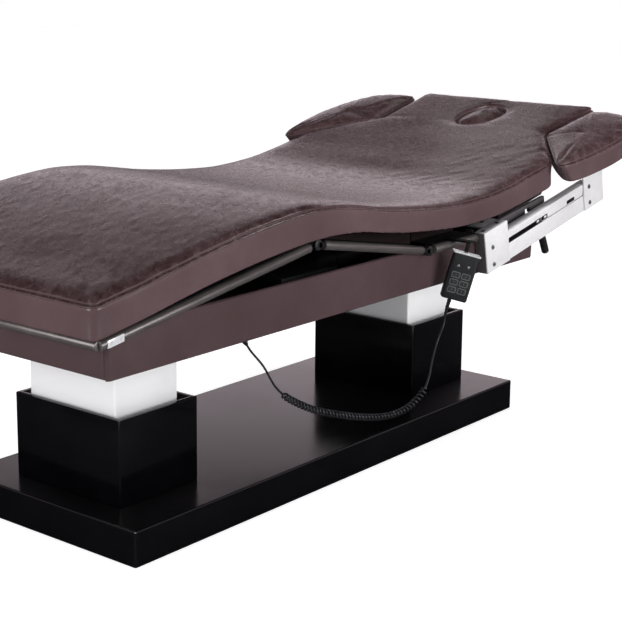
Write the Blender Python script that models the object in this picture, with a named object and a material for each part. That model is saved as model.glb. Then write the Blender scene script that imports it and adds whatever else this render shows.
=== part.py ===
"""Twin-column electric massage table.

The frame is in metres: X runs from the foot end to the head end, Y across the table, Z up from
the floor. The origin is on the floor, under the middle of the table. "Left" is the side of a
person's left hand when they lie face up, at -Y, and "right" is at +Y.
"""

import math

import bmesh
import bpy
from mathutils import Matrix, Vector

# Driving sizes, in metres: lengths along the table
CALF_LENGTH = 0.646
THIGH_LENGTH = 0.410
SEAT_LENGTH = 0.240
BACK_LENGTH = 0.730
TABLE_LENGTH = CALF_LENGTH + THIGH_LENGTH + SEAT_LENGTH + BACK_LENGTH

# Mattress
PAD_HALF_WIDTH = 0.4105
PAD_THICKNESS = 0.072
PAD_FOOT_Z = 0.535
PAD_RISE = 0.094
PAD_CROWN = 0.007
PAD_CORNER = 0.016
PAD_SIDE_INSET = 0.006
PAD_WELT_INSET = 0.009
HEAD_HALF_WIDTH = 0.285
NECK_START = 0.285
NECK_LENGTH = 0.200
NECK_END = NECK_START + NECK_LENGTH
NECK_TAPER = 0.017
FOLD_CLEARANCE = 0.0006

# Heights of the deck
DECK_BOTTOM_Z = 0.445
SKIRT_HEIGHT = 0.099
SKIRT_HEAD_HEIGHT = 0.075
HINGE_Z = 0.540
KNEE_Z = 0.616
FOOT_RAIL_Z = 0.5235
BACK_RISE = 0.146
BACK_SLOPE = math.atan2(BACK_RISE, BACK_LENGTH)

# Upholstered skirt under the mattress
SKIRT_SIDE_INSET = 0.0305
SKIRT_HALF_WIDTH = PAD_HALF_WIDTH - SKIRT_SIDE_INSET
SKIRT_WALL = 0.012
SKIRT_FOOT_SETBACK = 0.064
SKIRT_HEAD_REACH = 0.250
DECK_BOARD_THICKNESS = 0.015

# Plinth and base
PLINTH_OVERHANG = 0.226
PLINTH_HEAD_OVERHANG = 0.383
PLINTH_LENGTH = TABLE_LENGTH - PLINTH_OVERHANG - PLINTH_HEAD_OVERHANG
PLINTH_HALF_WIDTH = 0.275
PLINTH_HEIGHT = 0.078
PLINTH_WALL = 0.015
PLINTH_BEVEL = 0.003
BASE_PLATE_THICKNESS = 0.012

# Column casings, column covers and lift columns
CASING_LENGTH = 0.234
CASING_HALF_WIDTH = 0.161
CASING_HEIGHT = 0.190
CASING_WALL = 0.012
CASING_INSET = 0.070
COVER_LENGTH = 0.186
COVER_HALF_WIDTH = 0.132
COVER_WALL = 0.003
COVER_BOTTOM_Z = 0.070
COVER_SHIFT = 0.007
LIFT_OUTER_LENGTH = 0.116
LIFT_OUTER_HALF_WIDTH = 0.078
LIFT_OUTER_TOP_Z = 0.385
LIFT_WALL = 0.005
LIFT_INNER_BOTTOM_Z = 0.090

# Steel frames of the mattress sections
RAIL_RADIUS = 0.010
RAIL_STANDOFF = 0.0135
RAIL_HALF_SPAN = SKIRT_HALF_WIDTH + RAIL_STANDOFF
BACK_RAIL_INSET = 0.043
BACK_RAIL_HALF_SPAN = RAIL_HALF_SPAN - BACK_RAIL_INSET
RAIL_END_GAP = 0.024
BACK_RAIL_REACH = 0.330
CHEEK_START = 0.090
CHEEK_DROP = 0.030
CHEEK_HALF_SPAN = 0.3665
CHEEK_SUNK = 0.0095
CHEEK_NOTCH_HALF = 0.020
CHEEK_NOTCH_DROP = 0.016
PAN_LOW = 0.007
PAN_HIGH = 0.0105
EYE_RADIUS = 0.012
BACK_EYE_RADIUS = 0.010
THIGH_PAN_INSET = 0.045
CALF_PAN_INSET = 0.050
CALF_PAN_FOOT_INSET = 0.206
CALF_PAN_REACH = CALF_LENGTH - CALF_PAN_FOOT_INSET
SEAT_RAIL_INSET = 0.040
BACK_PAN_START = 0.082
EYE_WIDTH = 0.008
EYE_GAP = 0.0006
PIN_RADIUS = 0.004
PIN_CLEARANCE = 0.0003
TONGUE_HEIGHT = 0.012
TONGUE_SUNK = 0.010
FOOT_BAR_X = 0.026
END_PLATE_LENGTH = 0.048
END_PLATE_HEIGHT = 0.015
END_PLATE_THICKNESS = 0.003
BOARD_SIDE_INSET = 0.020
SEAT_BOARD_SIDE_INSET = 0.050
BACK_BOARD_SIDE_INSET = 0.030
BOARD_HALF_WIDTH = SKIRT_HALF_WIDTH - BOARD_SIDE_INSET
SEAT_BOARD_HALF_WIDTH = SKIRT_HALF_WIDTH - SEAT_BOARD_SIDE_INSET
SPINE_HALF_WIDTH = 0.030
RISER_LENGTH = 0.040
SPINE_HEIGHT = 0.060
SPINE_START = 0.120
SPINE_END = 0.180

# Face hole and its plug, measured from the head end
HOLE_FROM_HEAD = 0.145
HOLE_HALF_LENGTH = 0.090
HOLE_HALF_WIDTH = 0.060
PLUG_CLEARANCE = 0.0003
PLUG_THICKNESS = 0.040
PLUG_RECESS = 0.006
PLUG_DOME = 0.004

# Armrest mechanism, in the tilted frame of the back section
BRACKET_STANDOFF = 0.020
BRACKET_FACE_Y = RAIL_HALF_SPAN + BRACKET_STANDOFF
BRACKET_PLATE = 0.004
BRACKET_START = 0.0265
BRACKET_END = 0.076
BRACKET_DROP = 0.088
BRACKET_FLANGE = 0.006
BRACKET_FLANGE_WIDTH = 0.0785
BRACKET_FLANGE_INNER_Y = BRACKET_FACE_Y - BRACKET_FLANGE_WIDTH
BRACKET_TONGUE_START = 0.015
BRACKET_SHELF_CLEARANCE = 0.0025
PIVOT_U = 0.003
PIVOT_UPPER_DROP = 0.028
PIVOT_LOWER_DROP = 0.072
ARMREST_REACH = 0.510
LINK_SETBACK = 0.037
LINK_LENGTH = ARMREST_REACH - LINK_SETBACK
LINK_END = 0.013
UPPER_LINK_TOP_DROP = 0.015
UPPER_LINK_BOTTOM_DROP = 0.0335
LOWER_LINK_TOP_DROP = 0.0465
LINK_BLOCK_DROP = 0.044
LINK_BLOCK_ALONG = 0.247
LINK_BLOCK_INSET = 0.0008
LINK_WIDTH = 0.0256
CARRIER_LEAD = 0.025
CARRIER_TAIL = 0.075
BOLT_HEAD_RADIUS = 0.006
BOLT_HEAD_HEIGHT = 0.003
ARMREST_THICKNESS = 0.055
ARMREST_CROWN = 0.006
ARMREST_UNDERCUT = 0.034
LEVER_ALONG = 0.281
LEVER_LENGTH = 0.060
LEVER_RADIUS = 0.0098
LEVER_HUB_RADIUS = 0.008
LEVER_HUB_WIDTH = 0.012
LEVER_OFFSET = 0.015

# Armrest outline in plan, from the corner at the neck round the outer edge: X past the armrests'
# reach along the back, and Y out from the side of the mattress's head end
ARMREST_OUTLINE = (
    (-0.023, -0.003),
    (-0.210, 0.134),
    (-0.238, 0.153),
    (-0.238, 0.167),
    (-0.215, 0.178),
    (-0.170, 0.190),
    (-0.110, 0.200),
    (-0.030, 0.206),
    (0.050, 0.201),
    (0.110, 0.186),
    (0.160, 0.155),
    (0.190, 0.110),
    (0.204, 0.055),
    (0.198, 0.012),
)
# Crown of an armrest: (share of the outline's size, share of the rise)
ARMREST_CROWN_SHARES = ((0.80, 0.3), (0.55, 0.8), (0.25, 1.0))

# Actuators lying on the deck board
ACTUATOR_RADIUS = 0.020
ACTUATOR_BORE = 0.0105
ACTUATOR_LENGTH = 0.260
ACTUATOR_OFFSET_Y = 0.100
ROD_RADIUS = 0.010
ROD_LENGTH = 0.220
ROD_REACH = 0.070
CRANK_THICKNESS = 0.006
CRANK_WIDTH = 0.024
CRANK_GAP = 0.0003

# Control box
CONTROL_BOX_FROM_KNEE = 0.060
CONTROL_BOX_LENGTH = 0.200
CONTROL_BOX_WIDTH = 0.120
CONTROL_BOX_HEIGHT = 0.050
CONTROL_BOX_Y = 0.190

# Handset, hung by its hook from the seat frame's left rail
HANDSET_FROM_BACK_HINGE = 0.166
HANDSET_STANDOFF = 0.0415
HANDSET_DROP = 0.067
HANDSET_WIDTH = 0.062
HANDSET_HEIGHT = 0.112
HANDSET_DEPTH = 0.022
HANDSET_EDGE = 0.004
HANDSET_YAW = math.radians(-47.4)
HANDSET_ROLL = math.radians(15.5)
RELIEF_LENGTH = 0.045
RELIEF_X = -0.007
RELIEF_BEND = math.radians(10.0)
RELIEF_RADIUS = 0.0050
RELIEF_TIP_RADIUS = 0.0034
BUTTON_WIDTH = 0.016
BUTTON_HEIGHT = 0.010
BUTTON_DEPTH = 0.0022
BUTTON_PROUD = 0.0008
BUTTON_POCKET = 0.0034
BUTTON_CLEARANCE = 0.0004
BUTTON_PITCH_X = 0.024
BUTTON_PITCH_Z = 0.018
BUTTON_TOP_ROW = 0.004
BUTTON_ROWS = ("lift", "back", "legs")
HOOK_WALL = 0.002
HOOK_RIM_HEIGHT = 0.006
HOOK_DROP = 0.004
HOOK_SADDLE_WIDTH = 0.020
HOOK_SADDLE_HEIGHT = 0.004
HOOK_POST_RISE = 0.026

# Cord from the deck to the handset, hanging free at the left side. Its route runs along X from
# the middle of the table, with Y measured out from the skirt and Z from the floor
CORD_RADIUS = 0.0024
GLAND_RADIUS = 0.008
GLAND_TIP_RADIUS = 0.0042
GLAND_COLLAR = 0.008
CURL_RADIUS = 0.0062
CURL_COUNT = 46
POINTS_PER_CURL = 8
CORD_GLAND_X = -0.535
CORD_GLAND_INSET = 0.040
CORD_EXIT_X = 0.012
CORD_EXIT_DROP = 0.016
CORD_ROUTE = (
    (-0.482, -0.033, 0.371),
    (-0.443, -0.028, 0.314),
    (-0.418, -0.025, 0.291),
    (-0.380, -0.020, 0.267),
    (-0.326, -0.013, 0.240),
    (-0.255, -0.005, 0.215),
    (-0.194, 0.003, 0.197),
    (-0.131, 0.011, 0.183),
    (-0.080, 0.018, 0.179),
    (-0.040, 0.023, 0.184),
    (-0.007, 0.027, 0.197),
    (0.020, 0.030, 0.217),
    (0.036, 0.032, 0.246),
    (0.045, 0.033, 0.281),
    (0.060, 0.035, 0.323),
)
CURL_START_SHARE = 0.18
CURL_END_SHARE = 0.80
CORD_STRAIGHT = 0.005
CORD_SPACING = 0.012

# Small gaps between pieces that touch, and how far cutters run past what they cut
TOUCH = 0.0003
OVERRUN = 0.004
ROUND_SIDES = 16
SMOOTH_ANGLE = math.radians(40.0)

# Mattress profile: (share of the table's length, share of the rise) of its underside
UNDERSIDE_SHARES = (
    (0.0, 0.0), (0.06, 0.21), (0.115, 0.44), (0.17, 0.65), (0.235, 0.845), (0.30, 0.973),
    (0.345, 1.0), (0.385, 0.94), (0.44, 0.76), (0.51, 0.585), (0.575, 0.49), (0.62, 0.50),
    (0.67, 0.575), (0.72, 0.745), (0.79, 1.0), (1.0, 1.904),
)
# Mattress thickness along the table: (share of the table's length, share of the thickness)
THICKNESS_SHARES = (
    (0.0, 1.0), (0.17, 1.0), (0.30, 1.0), (0.345, 0.92), (0.40, 0.83), (0.50, 0.83),
    (0.60, 0.85), (0.72, 0.88), (0.79, 0.93), (1.0, 0.98),
)
# Half of the mattress's cross-section, from its underside's middle to its top's middle:
# (share of the half width, share of the side inset, share of the thickness, share of the crown)
SECTION_SHARES = (
    (0.0, 0.0, 0.0, 0.0),
    (1.0, 1.5, 0.0, 0.0),
    (1.0, 0.0, 0.07, 0.0),
    (1.0, 0.7, 0.20, 0.0),
    (1.0, 1.0, 0.50, 0.0),
    (1.0, 0.7, 0.78, 0.0),
    (1.0, 0.0, 0.85, 0.0),
    (1.0, 0.0, 0.93, 0.0),
    (1.0, 1.5, 0.935, 0.0),
    (0.94, 0.0, 1.0, 0.15),
    (0.55, 0.0, 1.0, 0.75),
    (0.0, 0.0, 1.0, 1.0),
)

# Where the knee, hip and back hinges lie in those profiles, from the foot end to the head end
HINGE_SHARES = (0.0, 0.31886, 0.52122, 0.63968, 1.0)

# Stations along the table
FOOT_X = -TABLE_LENGTH / 2
KNEE_X = FOOT_X + CALF_LENGTH
HIP_X = KNEE_X + THIGH_LENGTH
BACK_X = HIP_X + SEAT_LENGTH
HEAD_X = BACK_X + BACK_LENGTH
PLINTH_FOOT_X = FOOT_X + PLINTH_OVERHANG
PLINTH_HEAD_X = PLINTH_FOOT_X + PLINTH_LENGTH
SKIRT_FOOT_X = FOOT_X + SKIRT_FOOT_SETBACK
SKIRT_HEAD_X = BACK_X + SKIRT_HEAD_REACH
FOOT_CASING_X = PLINTH_FOOT_X + CASING_INSET + CASING_LENGTH / 2
HEAD_CASING_X = PLINTH_HEAD_X - CASING_INSET - CASING_LENGTH / 2
DECK_FLOOR_Z = DECK_BOTTOM_Z + DECK_BOARD_THICKNESS
ACTUATOR_Z = DECK_FLOOR_Z + TOUCH + ACTUATOR_RADIUS
HANDSET_X = BACK_X - HANDSET_FROM_BACK_HINGE
HANDSET_Y = -RAIL_HALF_SPAN - HANDSET_STANDOFF
HANDSET_Z = HINGE_Z - HANDSET_DROP
CORD_GLAND_Y = CORD_GLAND_INSET - SKIRT_HALF_WIDTH
HOLE_X = HEAD_X - HOLE_FROM_HEAD
SKIRT_REACH_ALONG_BACK = SKIRT_HEAD_X - SKIRT_WALL / 2 - BACK_X


def clear_scene():
    for obj in list(bpy.data.objects):
        bpy.data.objects.remove(obj)


def material(name, colour, roughness, metallic=0.0):
    made = bpy.data.materials.new(name)
    made.use_nodes = True
    shader = made.node_tree.nodes["Principled BSDF"]
    shader.inputs["Base Color"].default_value = (*colour, 1.0)
    shader.inputs["Roughness"].default_value = roughness
    shader.inputs["Metallic"].default_value = metallic
    made.diffuse_color = (*colour, 1.0)
    return made


def make_object(name, points, faces, finish, origin=(0.0, 0.0, 0.0), smooth=False):
    """A closed mesh from world points, with its origin where its joint or its own middle is."""
    shift = Vector(origin)
    mesh = bpy.data.meshes.new(name)
    mesh.from_pydata([Vector(p) - shift for p in points], [], faces)
    edit = bmesh.new()
    edit.from_mesh(mesh)
    bmesh.ops.recalc_face_normals(edit, faces=edit.faces)
    edit.to_mesh(mesh)
    edit.free()
    mesh.materials.append(finish)
    if smooth:
        mesh.shade_smooth()
        mesh.set_sharp_from_angle(angle=SMOOTH_ANGLE)
    obj = bpy.data.objects.new(name, mesh)
    obj.location = shift
    bpy.context.collection.objects.link(obj)
    return obj


def loft(name, rings, finish, origin=(0.0, 0.0, 0.0), smooth=False):
    """Skins rings of equal point counts and closes both ends with a face."""
    count = len(rings[0])
    points = [p for ring in rings for p in ring]
    faces = []
    for r in range(len(rings) - 1):
        for i in range(count):
            j = (i + 1) % count
            low = r * count
            high = low + count
            faces.append((low + i, low + j, high + j, high + i))
    faces.append(tuple(range(count)))
    faces.append(tuple(range((len(rings) - 1) * count, len(rings) * count)))
    return make_object(name, points, faces, finish, origin, smooth)


def block(name, low, high, finish, origin=(0.0, 0.0, 0.0)):
    rings = [
        [(x, low[1], low[2]), (x, high[1], low[2]), (x, high[1], high[2]), (x, low[1], high[2])]
        for x in (low[0], high[0])
    ]
    return loft(name, rings, finish, origin)


def prism_y(name, outline, low_y, high_y, finish, origin=(0.0, 0.0, 0.0)):
    """An outline in X and Z, extruded across the table."""
    rings = [[(x, y, z) for x, z in outline] for y in (low_y, high_y)]
    return loft(name, rings, finish, origin)


def rod(name, start, end, radius, finish, origin=(0.0, 0.0, 0.0), end_radius=None, sides=ROUND_SIDES):
    """A round bar between two points, tapered if it has an end radius."""
    a, b = Vector(start), Vector(end)
    turn = (b - a).to_track_quat("Z", "Y")
    rings = []
    for centre, size in ((a, radius), (b, radius if end_radius is None else end_radius)):
        ring = []
        for i in range(sides):
            angle = math.tau * (i + 0.5) / sides
            ring.append(centre + turn @ Vector((size * math.cos(angle), size * math.sin(angle), 0.0)))
        rings.append(ring)
    return loft(name, rings, finish, origin, smooth=True)


def as_tool(obj):
    obj.hide_render = True
    obj.display_type = "WIRE"
    return obj


def combine(main, tools, operation):
    for tool in tools:
        step = main.modifiers.new(tool.name, "BOOLEAN")
        step.operation = operation
        step.solver = "EXACT"
        step.object = as_tool(tool)
    return main


def fuse(main, tools):
    return combine(main, tools, "UNION")


def cut(main, tools):
    return combine(main, tools, "DIFFERENCE")


def smooth_table(table, share):
    """Reads a table of shares as a smooth curve through its points."""
    count = len(table)
    index = max(i for i in range(count - 1) if table[i][0] <= share or i == 0)
    x0, y0 = table[index]
    x1, y1 = table[index + 1]

    def slope(i):
        before = table[max(i - 1, 0)]
        after = table[min(i + 1, count - 1)]
        return (after[1] - before[1]) / (after[0] - before[0])

    step = x1 - x0
    t = (share - x0) / step
    start_pull = slope(index) * step
    end_pull = slope(index + 1) * step
    return (
        (2 * t**3 - 3 * t**2 + 1) * y0
        + (t**3 - 2 * t**2 + t) * start_pull
        + (3 * t**2 - 2 * t**3) * y1
        + (t**3 - t**2) * end_pull
    )


def profile_share(x):
    """How far along the profiles a place is, with each section of the table keeping its own part."""
    stations = (FOOT_X, KNEE_X, HIP_X, BACK_X, HEAD_X)
    x = min(max(x, FOOT_X), HEAD_X)
    i = max(k for k in range(len(stations) - 1) if stations[k] <= x)
    along = (x - stations[i]) / (stations[i + 1] - stations[i])
    return HINGE_SHARES[i] + (HINGE_SHARES[i + 1] - HINGE_SHARES[i]) * along


def underside_z(x):
    return PAD_FOOT_Z + PAD_RISE * smooth_table(UNDERSIDE_SHARES, profile_share(x))


def thickness_at(x):
    return PAD_THICKNESS * smooth_table(THICKNESS_SHARES, profile_share(x))


def half_width_at(x):
    """The mattress narrows along a slanted shoulder on each side, then widens a little to its end."""
    along = x - BACK_X
    corner = HEAD_HALF_WIDTH - NECK_TAPER
    if along <= NECK_END:
        share = max((along - NECK_START) / NECK_LENGTH, 0.0)
        return PAD_HALF_WIDTH + (corner - PAD_HALF_WIDTH) * share
    return corner + NECK_TAPER * (along - NECK_END) / (HEAD_X - BACK_X - NECK_END)


def pad_ring(x, lean=0.0, pivot_z=0.0, shrink=0.0):
    """One cross-section of the mattress, leaning about a line across the table at pivot_z."""
    low = underside_z(x)
    thick = thickness_at(x)
    half = half_width_at(x) - shrink
    left, right = [], []
    for width_share, inset_share, up_share, crown_share in SECTION_SHARES:
        y = half * width_share - PAD_SIDE_INSET * inset_share
        if width_share == 0.0:
            y = 0.0
        squeeze = shrink * (1.0 - 2.0 * up_share)
        z = low + thick * up_share + PAD_CROWN * crown_share + squeeze
        px = x + (z - pivot_z) * math.tan(lean)
        right.append((px, y, z))
        left.append((px, -y, z))
    return right + left[-2:0:-1]


def spaced(start, end, step):
    count = max(2, round((end - start) / step))
    return [start + (end - start) * i / count for i in range(1, count)]


def rounded_end(x, inward):
    """Rings that round the mattress's end at x: inward is +1 at the foot end and -1 at the head."""
    rings = []
    for degrees in (0.0, 35.0, 65.0, 90.0):
        angle = math.radians(degrees)
        along = PAD_CORNER * (1.0 - math.sin(angle))
        aside = PAD_CORNER * (1.0 - math.cos(angle))
        rings.append(pad_ring(x + inward * along, shrink=aside * 0.6))
    return rings if inward < 0 else rings[::-1]


LEATHER = None


def pad(name, rings, origin):
    return loft(name, rings, LEATHER, origin, smooth=True)


def line_z(x, x0, z0, slope):
    return z0 + (x - x0) * slope


THIGH_SLOPE = -(KNEE_Z - HINGE_Z) / THIGH_LENGTH
CALF_SLOPE = (KNEE_Z - FOOT_RAIL_Z) / (CALF_LENGTH - FOOT_BAR_X)
BACK_RATE = math.tan(BACK_SLOPE)
KNEE_LEAN = math.radians(10.0)
BACK_LEAN = math.radians(25.0)
PAD_STEP = 0.075


def make_mattress():
    """Four cushions, and two soft folds that fill the wedges where the cushions close up."""
    calf_end = pad_ring(KNEE_X - FOLD_CLEARANCE, -KNEE_LEAN, KNEE_Z)
    thigh_start = pad_ring(KNEE_X + FOLD_CLEARANCE, KNEE_LEAN, KNEE_Z)
    calf = rounded_end(FOOT_X, 1.0)
    calf += [pad_ring(x) for x in spaced(FOOT_X + PAD_CORNER, KNEE_X - PAD_STEP / 2, PAD_STEP)]
    calf.append(calf_end)
    pad("calf_pad", calf, (KNEE_X, 0.0, KNEE_Z))
    thigh = [thigh_start]
    thigh += [pad_ring(x) for x in spaced(KNEE_X, HIP_X, PAD_STEP)]
    thigh.append(pad_ring(HIP_X - FOLD_CLEARANCE / 2))
    pad("thigh_pad", thigh, (HIP_X, 0.0, HINGE_Z))
    seat = [pad_ring(HIP_X + FOLD_CLEARANCE / 2)]
    seat += [pad_ring(x) for x in spaced(HIP_X, BACK_X - PAD_STEP / 2, PAD_STEP)]
    seat.append(pad_ring(BACK_X - FOLD_CLEARANCE, -BACK_LEAN, HINGE_Z))
    pad("seat_pad", seat, (HIP_X, 0.0, HINGE_Z))

    back = [pad_ring(BACK_X + FOLD_CLEARANCE, BACK_LEAN, HINGE_Z)]
    shoulder = BACK_X + NECK_START
    narrow = BACK_X + NECK_END
    back += [pad_ring(x) for x in spaced(BACK_X + PAD_STEP / 2, shoulder, PAD_STEP)]
    back.append(pad_ring(shoulder))
    back += [pad_ring(x) for x in spaced(shoulder, narrow, PAD_STEP)]
    back.append(pad_ring(narrow))
    back += [pad_ring(x) for x in spaced(narrow, HEAD_X - PAD_CORNER, PAD_STEP)]
    back += rounded_end(HEAD_X, -1.0)
    back_pad = pad("back_pad", back, (BACK_X, 0.0, HINGE_Z))
    cut(back_pad, [face_hole("face_hole_in_pad")])

    for name, x, z, lean in (("knee_fold", KNEE_X, KNEE_Z, KNEE_LEAN), ("back_fold", BACK_X, HINGE_Z, BACK_LEAN)):
        rings = [pad_ring(x, -lean, z), pad_ring(x, lean, z)]
        pad(name, rings, (x, 0.0, z))
    return [[(ring[0][0], ring[0][2]) for ring in rings] for rings in (calf, thigh, seat, back)]


def tilted(u, y, w):
    """A point in the back section's own frame: u up the slope from its hinge, w square to it."""
    c, s = math.cos(BACK_SLOPE), math.sin(BACK_SLOPE)
    return (BACK_X + u * c - w * s, y, HINGE_Z + u * s + w * c)


def tilted_block(name, low, high, finish, origin=(0.0, 0.0, 0.0)):
    rings = []
    for u in (low[0], high[0]):
        corners = ((low[1], low[2]), (high[1], low[2]), (high[1], high[2]), (low[1], high[2]))
        rings.append([tilted(u, y, w) for y, w in corners])
    return loft(name, rings, finish, origin)


def oval(centre_x, centre_z, half_length, half_width, sides):
    """A flat oval square to the back section's slope."""
    ring = []
    for i in range(sides):
        angle = math.tau * i / sides
        along = half_length * math.cos(angle)
        ring.append((
            centre_x + along * math.cos(BACK_SLOPE),
            half_width * math.sin(angle),
            centre_z + along * math.sin(BACK_SLOPE),
        ))
    return ring


def face_hole(name):
    """The cutter for the oval face hole, square to the head's slope."""
    up = Vector((-math.sin(BACK_SLOPE), 0.0, math.cos(BACK_SLOPE)))
    middle_z = underside_z(HOLE_X) + thickness_at(HOLE_X) / 2
    flat = oval(HOLE_X, middle_z, HOLE_HALF_LENGTH, HOLE_HALF_WIDTH, 2 * ROUND_SIDES)
    reach = PAD_THICKNESS + PAD_CROWN
    rings = [[Vector(p) + up * side * reach for p in flat] for side in (-1, 1)]
    return loft(name, rings, LEATHER)


def make_face_plug():
    """A domed oval plug in the face hole, held by a narrow lip under the cushion's skin."""
    up = Vector((-math.sin(BACK_SLOPE), 0.0, math.cos(BACK_SLOPE)))
    middle_z = underside_z(HOLE_X) + thickness_at(HOLE_X) / 2
    half_pad = thickness_at(HOLE_X) / 2 * math.cos(BACK_SLOPE)
    top = half_pad - PLUG_RECESS
    layers = (
        (top - PLUG_THICKNESS, 1.0), (top - PLUG_THICKNESS / 4, 1.0), (top, 0.94),
        (top + PLUG_DOME * 0.7, 0.70), (top + PLUG_DOME, 0.35),
    )
    rings = []
    for height, size in layers:
        length = (HOLE_HALF_LENGTH - PLUG_CLEARANCE) * size
        width = (HOLE_HALF_WIDTH - PLUG_CLEARANCE) * size
        flat = oval(HOLE_X, middle_z, length, width, 2 * ROUND_SIDES)
        rings.append([Vector(p) + up * height for p in flat])
    loft("face_plug", rings, LEATHER, (HOLE_X, 0.0, middle_z), smooth=True)


def rectangular_tube(name, centre_x, half_length, half_width, low_z, high_z, wall, finish):
    """An upright tube, open at both ends."""
    outer = block(
        name, (centre_x - half_length, -half_width, low_z), (centre_x + half_length, half_width, high_z), finish
    )
    inner = block(
        name + "_bore",
        (centre_x - half_length + wall, -half_width + wall, low_z - OVERRUN),
        (centre_x + half_length - wall, half_width - wall, high_z + OVERRUN),
        finish,
    )
    return cut(outer, [inner])


def make_base(lacquer, steel):
    """Steel plate on the floor, the hollow plinth over it, and the two open casings."""
    plate_inset = PLINTH_WALL + TOUCH
    block(
        "base_plate",
        (PLINTH_FOOT_X + plate_inset, -PLINTH_HALF_WIDTH + plate_inset, 0.0),
        (PLINTH_HEAD_X - plate_inset, PLINTH_HALF_WIDTH - plate_inset, BASE_PLATE_THICKNESS),
        steel,
    )
    plinth = block(
        "plinth_cover",
        (PLINTH_FOOT_X, -PLINTH_HALF_WIDTH, 0.0),
        (PLINTH_HEAD_X, PLINTH_HALF_WIDTH, PLINTH_HEIGHT),
        lacquer,
    )
    edge = plinth.modifiers.new("softened_edges", "BEVEL")
    edge.width = PLINTH_BEVEL
    edge.segments = 2
    hollow = block(
        "plinth_hollow",
        (PLINTH_FOOT_X + PLINTH_WALL, -PLINTH_HALF_WIDTH + PLINTH_WALL, -OVERRUN),
        (PLINTH_HEAD_X - PLINTH_WALL, PLINTH_HALF_WIDTH - PLINTH_WALL, PLINTH_HEIGHT - PLINTH_WALL),
        lacquer,
    )
    holes = []
    for end, x in (("foot", FOOT_CASING_X), ("head", HEAD_CASING_X)):
        half = CASING_LENGTH / 2 - CASING_WALL
        wide = CASING_HALF_WIDTH - CASING_WALL
        holes.append(block(
            f"plinth_hole_{end}",
            (x - half, -wide, PLINTH_HEIGHT - PLINTH_WALL - OVERRUN),
            (x + half, wide, PLINTH_HEIGHT + OVERRUN),
            lacquer,
        ))
        casing = rectangular_tube(
            f"casing_{end}", x, CASING_LENGTH / 2, CASING_HALF_WIDTH,
            PLINTH_HEIGHT + TOUCH, PLINTH_HEIGHT + CASING_HEIGHT, CASING_WALL, lacquer,
        )
        casing.data.materials[0] = lacquer
    cut(plinth, [hollow, *holes])


def make_columns(white, aluminium):
    """Two telescopic lift columns, each in a sleeve that rises and sinks with the deck."""
    for end, casing_x in (("foot", FOOT_CASING_X), ("head", HEAD_CASING_X)):
        x = casing_x - COVER_SHIFT
        rectangular_tube(
            f"lift_outer_{end}", x, LIFT_OUTER_LENGTH / 2, LIFT_OUTER_HALF_WIDTH,
            BASE_PLATE_THICKNESS + TOUCH, LIFT_OUTER_TOP_Z, LIFT_WALL, aluminium,
        )
        slack = LIFT_WALL + TOUCH
        rectangular_tube(
            f"lift_inner_{end}", x, LIFT_OUTER_LENGTH / 2 - slack, LIFT_OUTER_HALF_WIDTH - slack,
            LIFT_INNER_BOTTOM_Z, DECK_BOTTOM_Z - TOUCH, LIFT_WALL, aluminium,
        )
        rectangular_tube(
            f"column_cover_{end}", x, COVER_LENGTH / 2, COVER_HALF_WIDTH,
            COVER_BOTTOM_Z, DECK_BOTTOM_Z - TOUCH, COVER_WALL, white,
        )


def make_skirt(board_finish):
    """The upholstered box under the mattress: four panels round a board."""
    top = DECK_BOTTOM_Z + SKIRT_HEIGHT
    inner = SKIRT_HALF_WIDTH - SKIRT_WALL
    for name, low_y, high_y in (("skirt_left", -SKIRT_HALF_WIDTH, -inner), ("skirt_right", inner, SKIRT_HALF_WIDTH)):
        block(name, (SKIRT_FOOT_X, low_y, DECK_BOTTOM_Z), (SKIRT_HEAD_X, high_y, top), LEATHER)
    width = inner - TOUCH
    block(
        "skirt_foot",
        (SKIRT_FOOT_X, -width, DECK_BOTTOM_Z),
        (SKIRT_FOOT_X + SKIRT_WALL, width, top),
        LEATHER,
    )
    block(
        "skirt_head",
        (SKIRT_HEAD_X - SKIRT_WALL, -width, DECK_BOTTOM_Z),
        (SKIRT_HEAD_X, width, DECK_BOTTOM_Z + SKIRT_HEAD_HEIGHT),
        LEATHER,
    )
    block(
        "deck_board",
        (SKIRT_FOOT_X + SKIRT_WALL + TOUCH, -width, DECK_BOTTOM_Z),
        (SKIRT_HEAD_X - SKIRT_WALL - TOUCH, width, DECK_FLOOR_Z),
        board_finish,
    )


def pan(name, start, end, half_span, x0, z0, slope, finish):
    """A thin sheet between a section's side rails, sunk a little into their tops."""
    outline = [
        (start, line_z(start, x0, z0, slope) + PAN_LOW),
        (end, line_z(end, x0, z0, slope) + PAN_LOW),
        (end, line_z(end, x0, z0, slope) + PAN_HIGH),
        (start, line_z(start, x0, z0, slope) + PAN_HIGH),
    ]
    return prism_y(name, outline, -half_span, half_span, finish)


def eye(name, x, z, low_y, high_y, radius, finish):
    return rod(name, (x, low_y, z), (x, high_y, z), radius, finish)


def tongue(name, x, z, to_x, to_z, low_y, high_y, finish):
    """A flat strap from a hinge eye into the end of its rail."""
    lift = TONGUE_HEIGHT / 2
    reach = math.hypot(to_x - x, to_z - z)
    far_x = to_x + (to_x - x) / reach * TONGUE_SUNK
    far_z = to_z + (to_z - z) / reach * TONGUE_SUNK
    outline = [(x, z - lift), (far_x, far_z - lift), (far_x, far_z + lift), (x, z + lift)]
    return prism_y(name, outline, low_y, high_y, finish)


def outer_lane(side, half_span):
    """The strip across the table that a section's outer hinge eyes use."""
    outer = side * (half_span + EYE_WIDTH + EYE_GAP / 2)
    inner = side * (half_span + EYE_GAP / 2)
    return min(outer, inner), max(outer, inner)


def inner_lane(side, half_span):
    outer = side * (half_span - EYE_GAP / 2)
    inner = side * (half_span - EYE_WIDTH - EYE_GAP / 2)
    return min(outer, inner), max(outer, inner)


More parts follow.
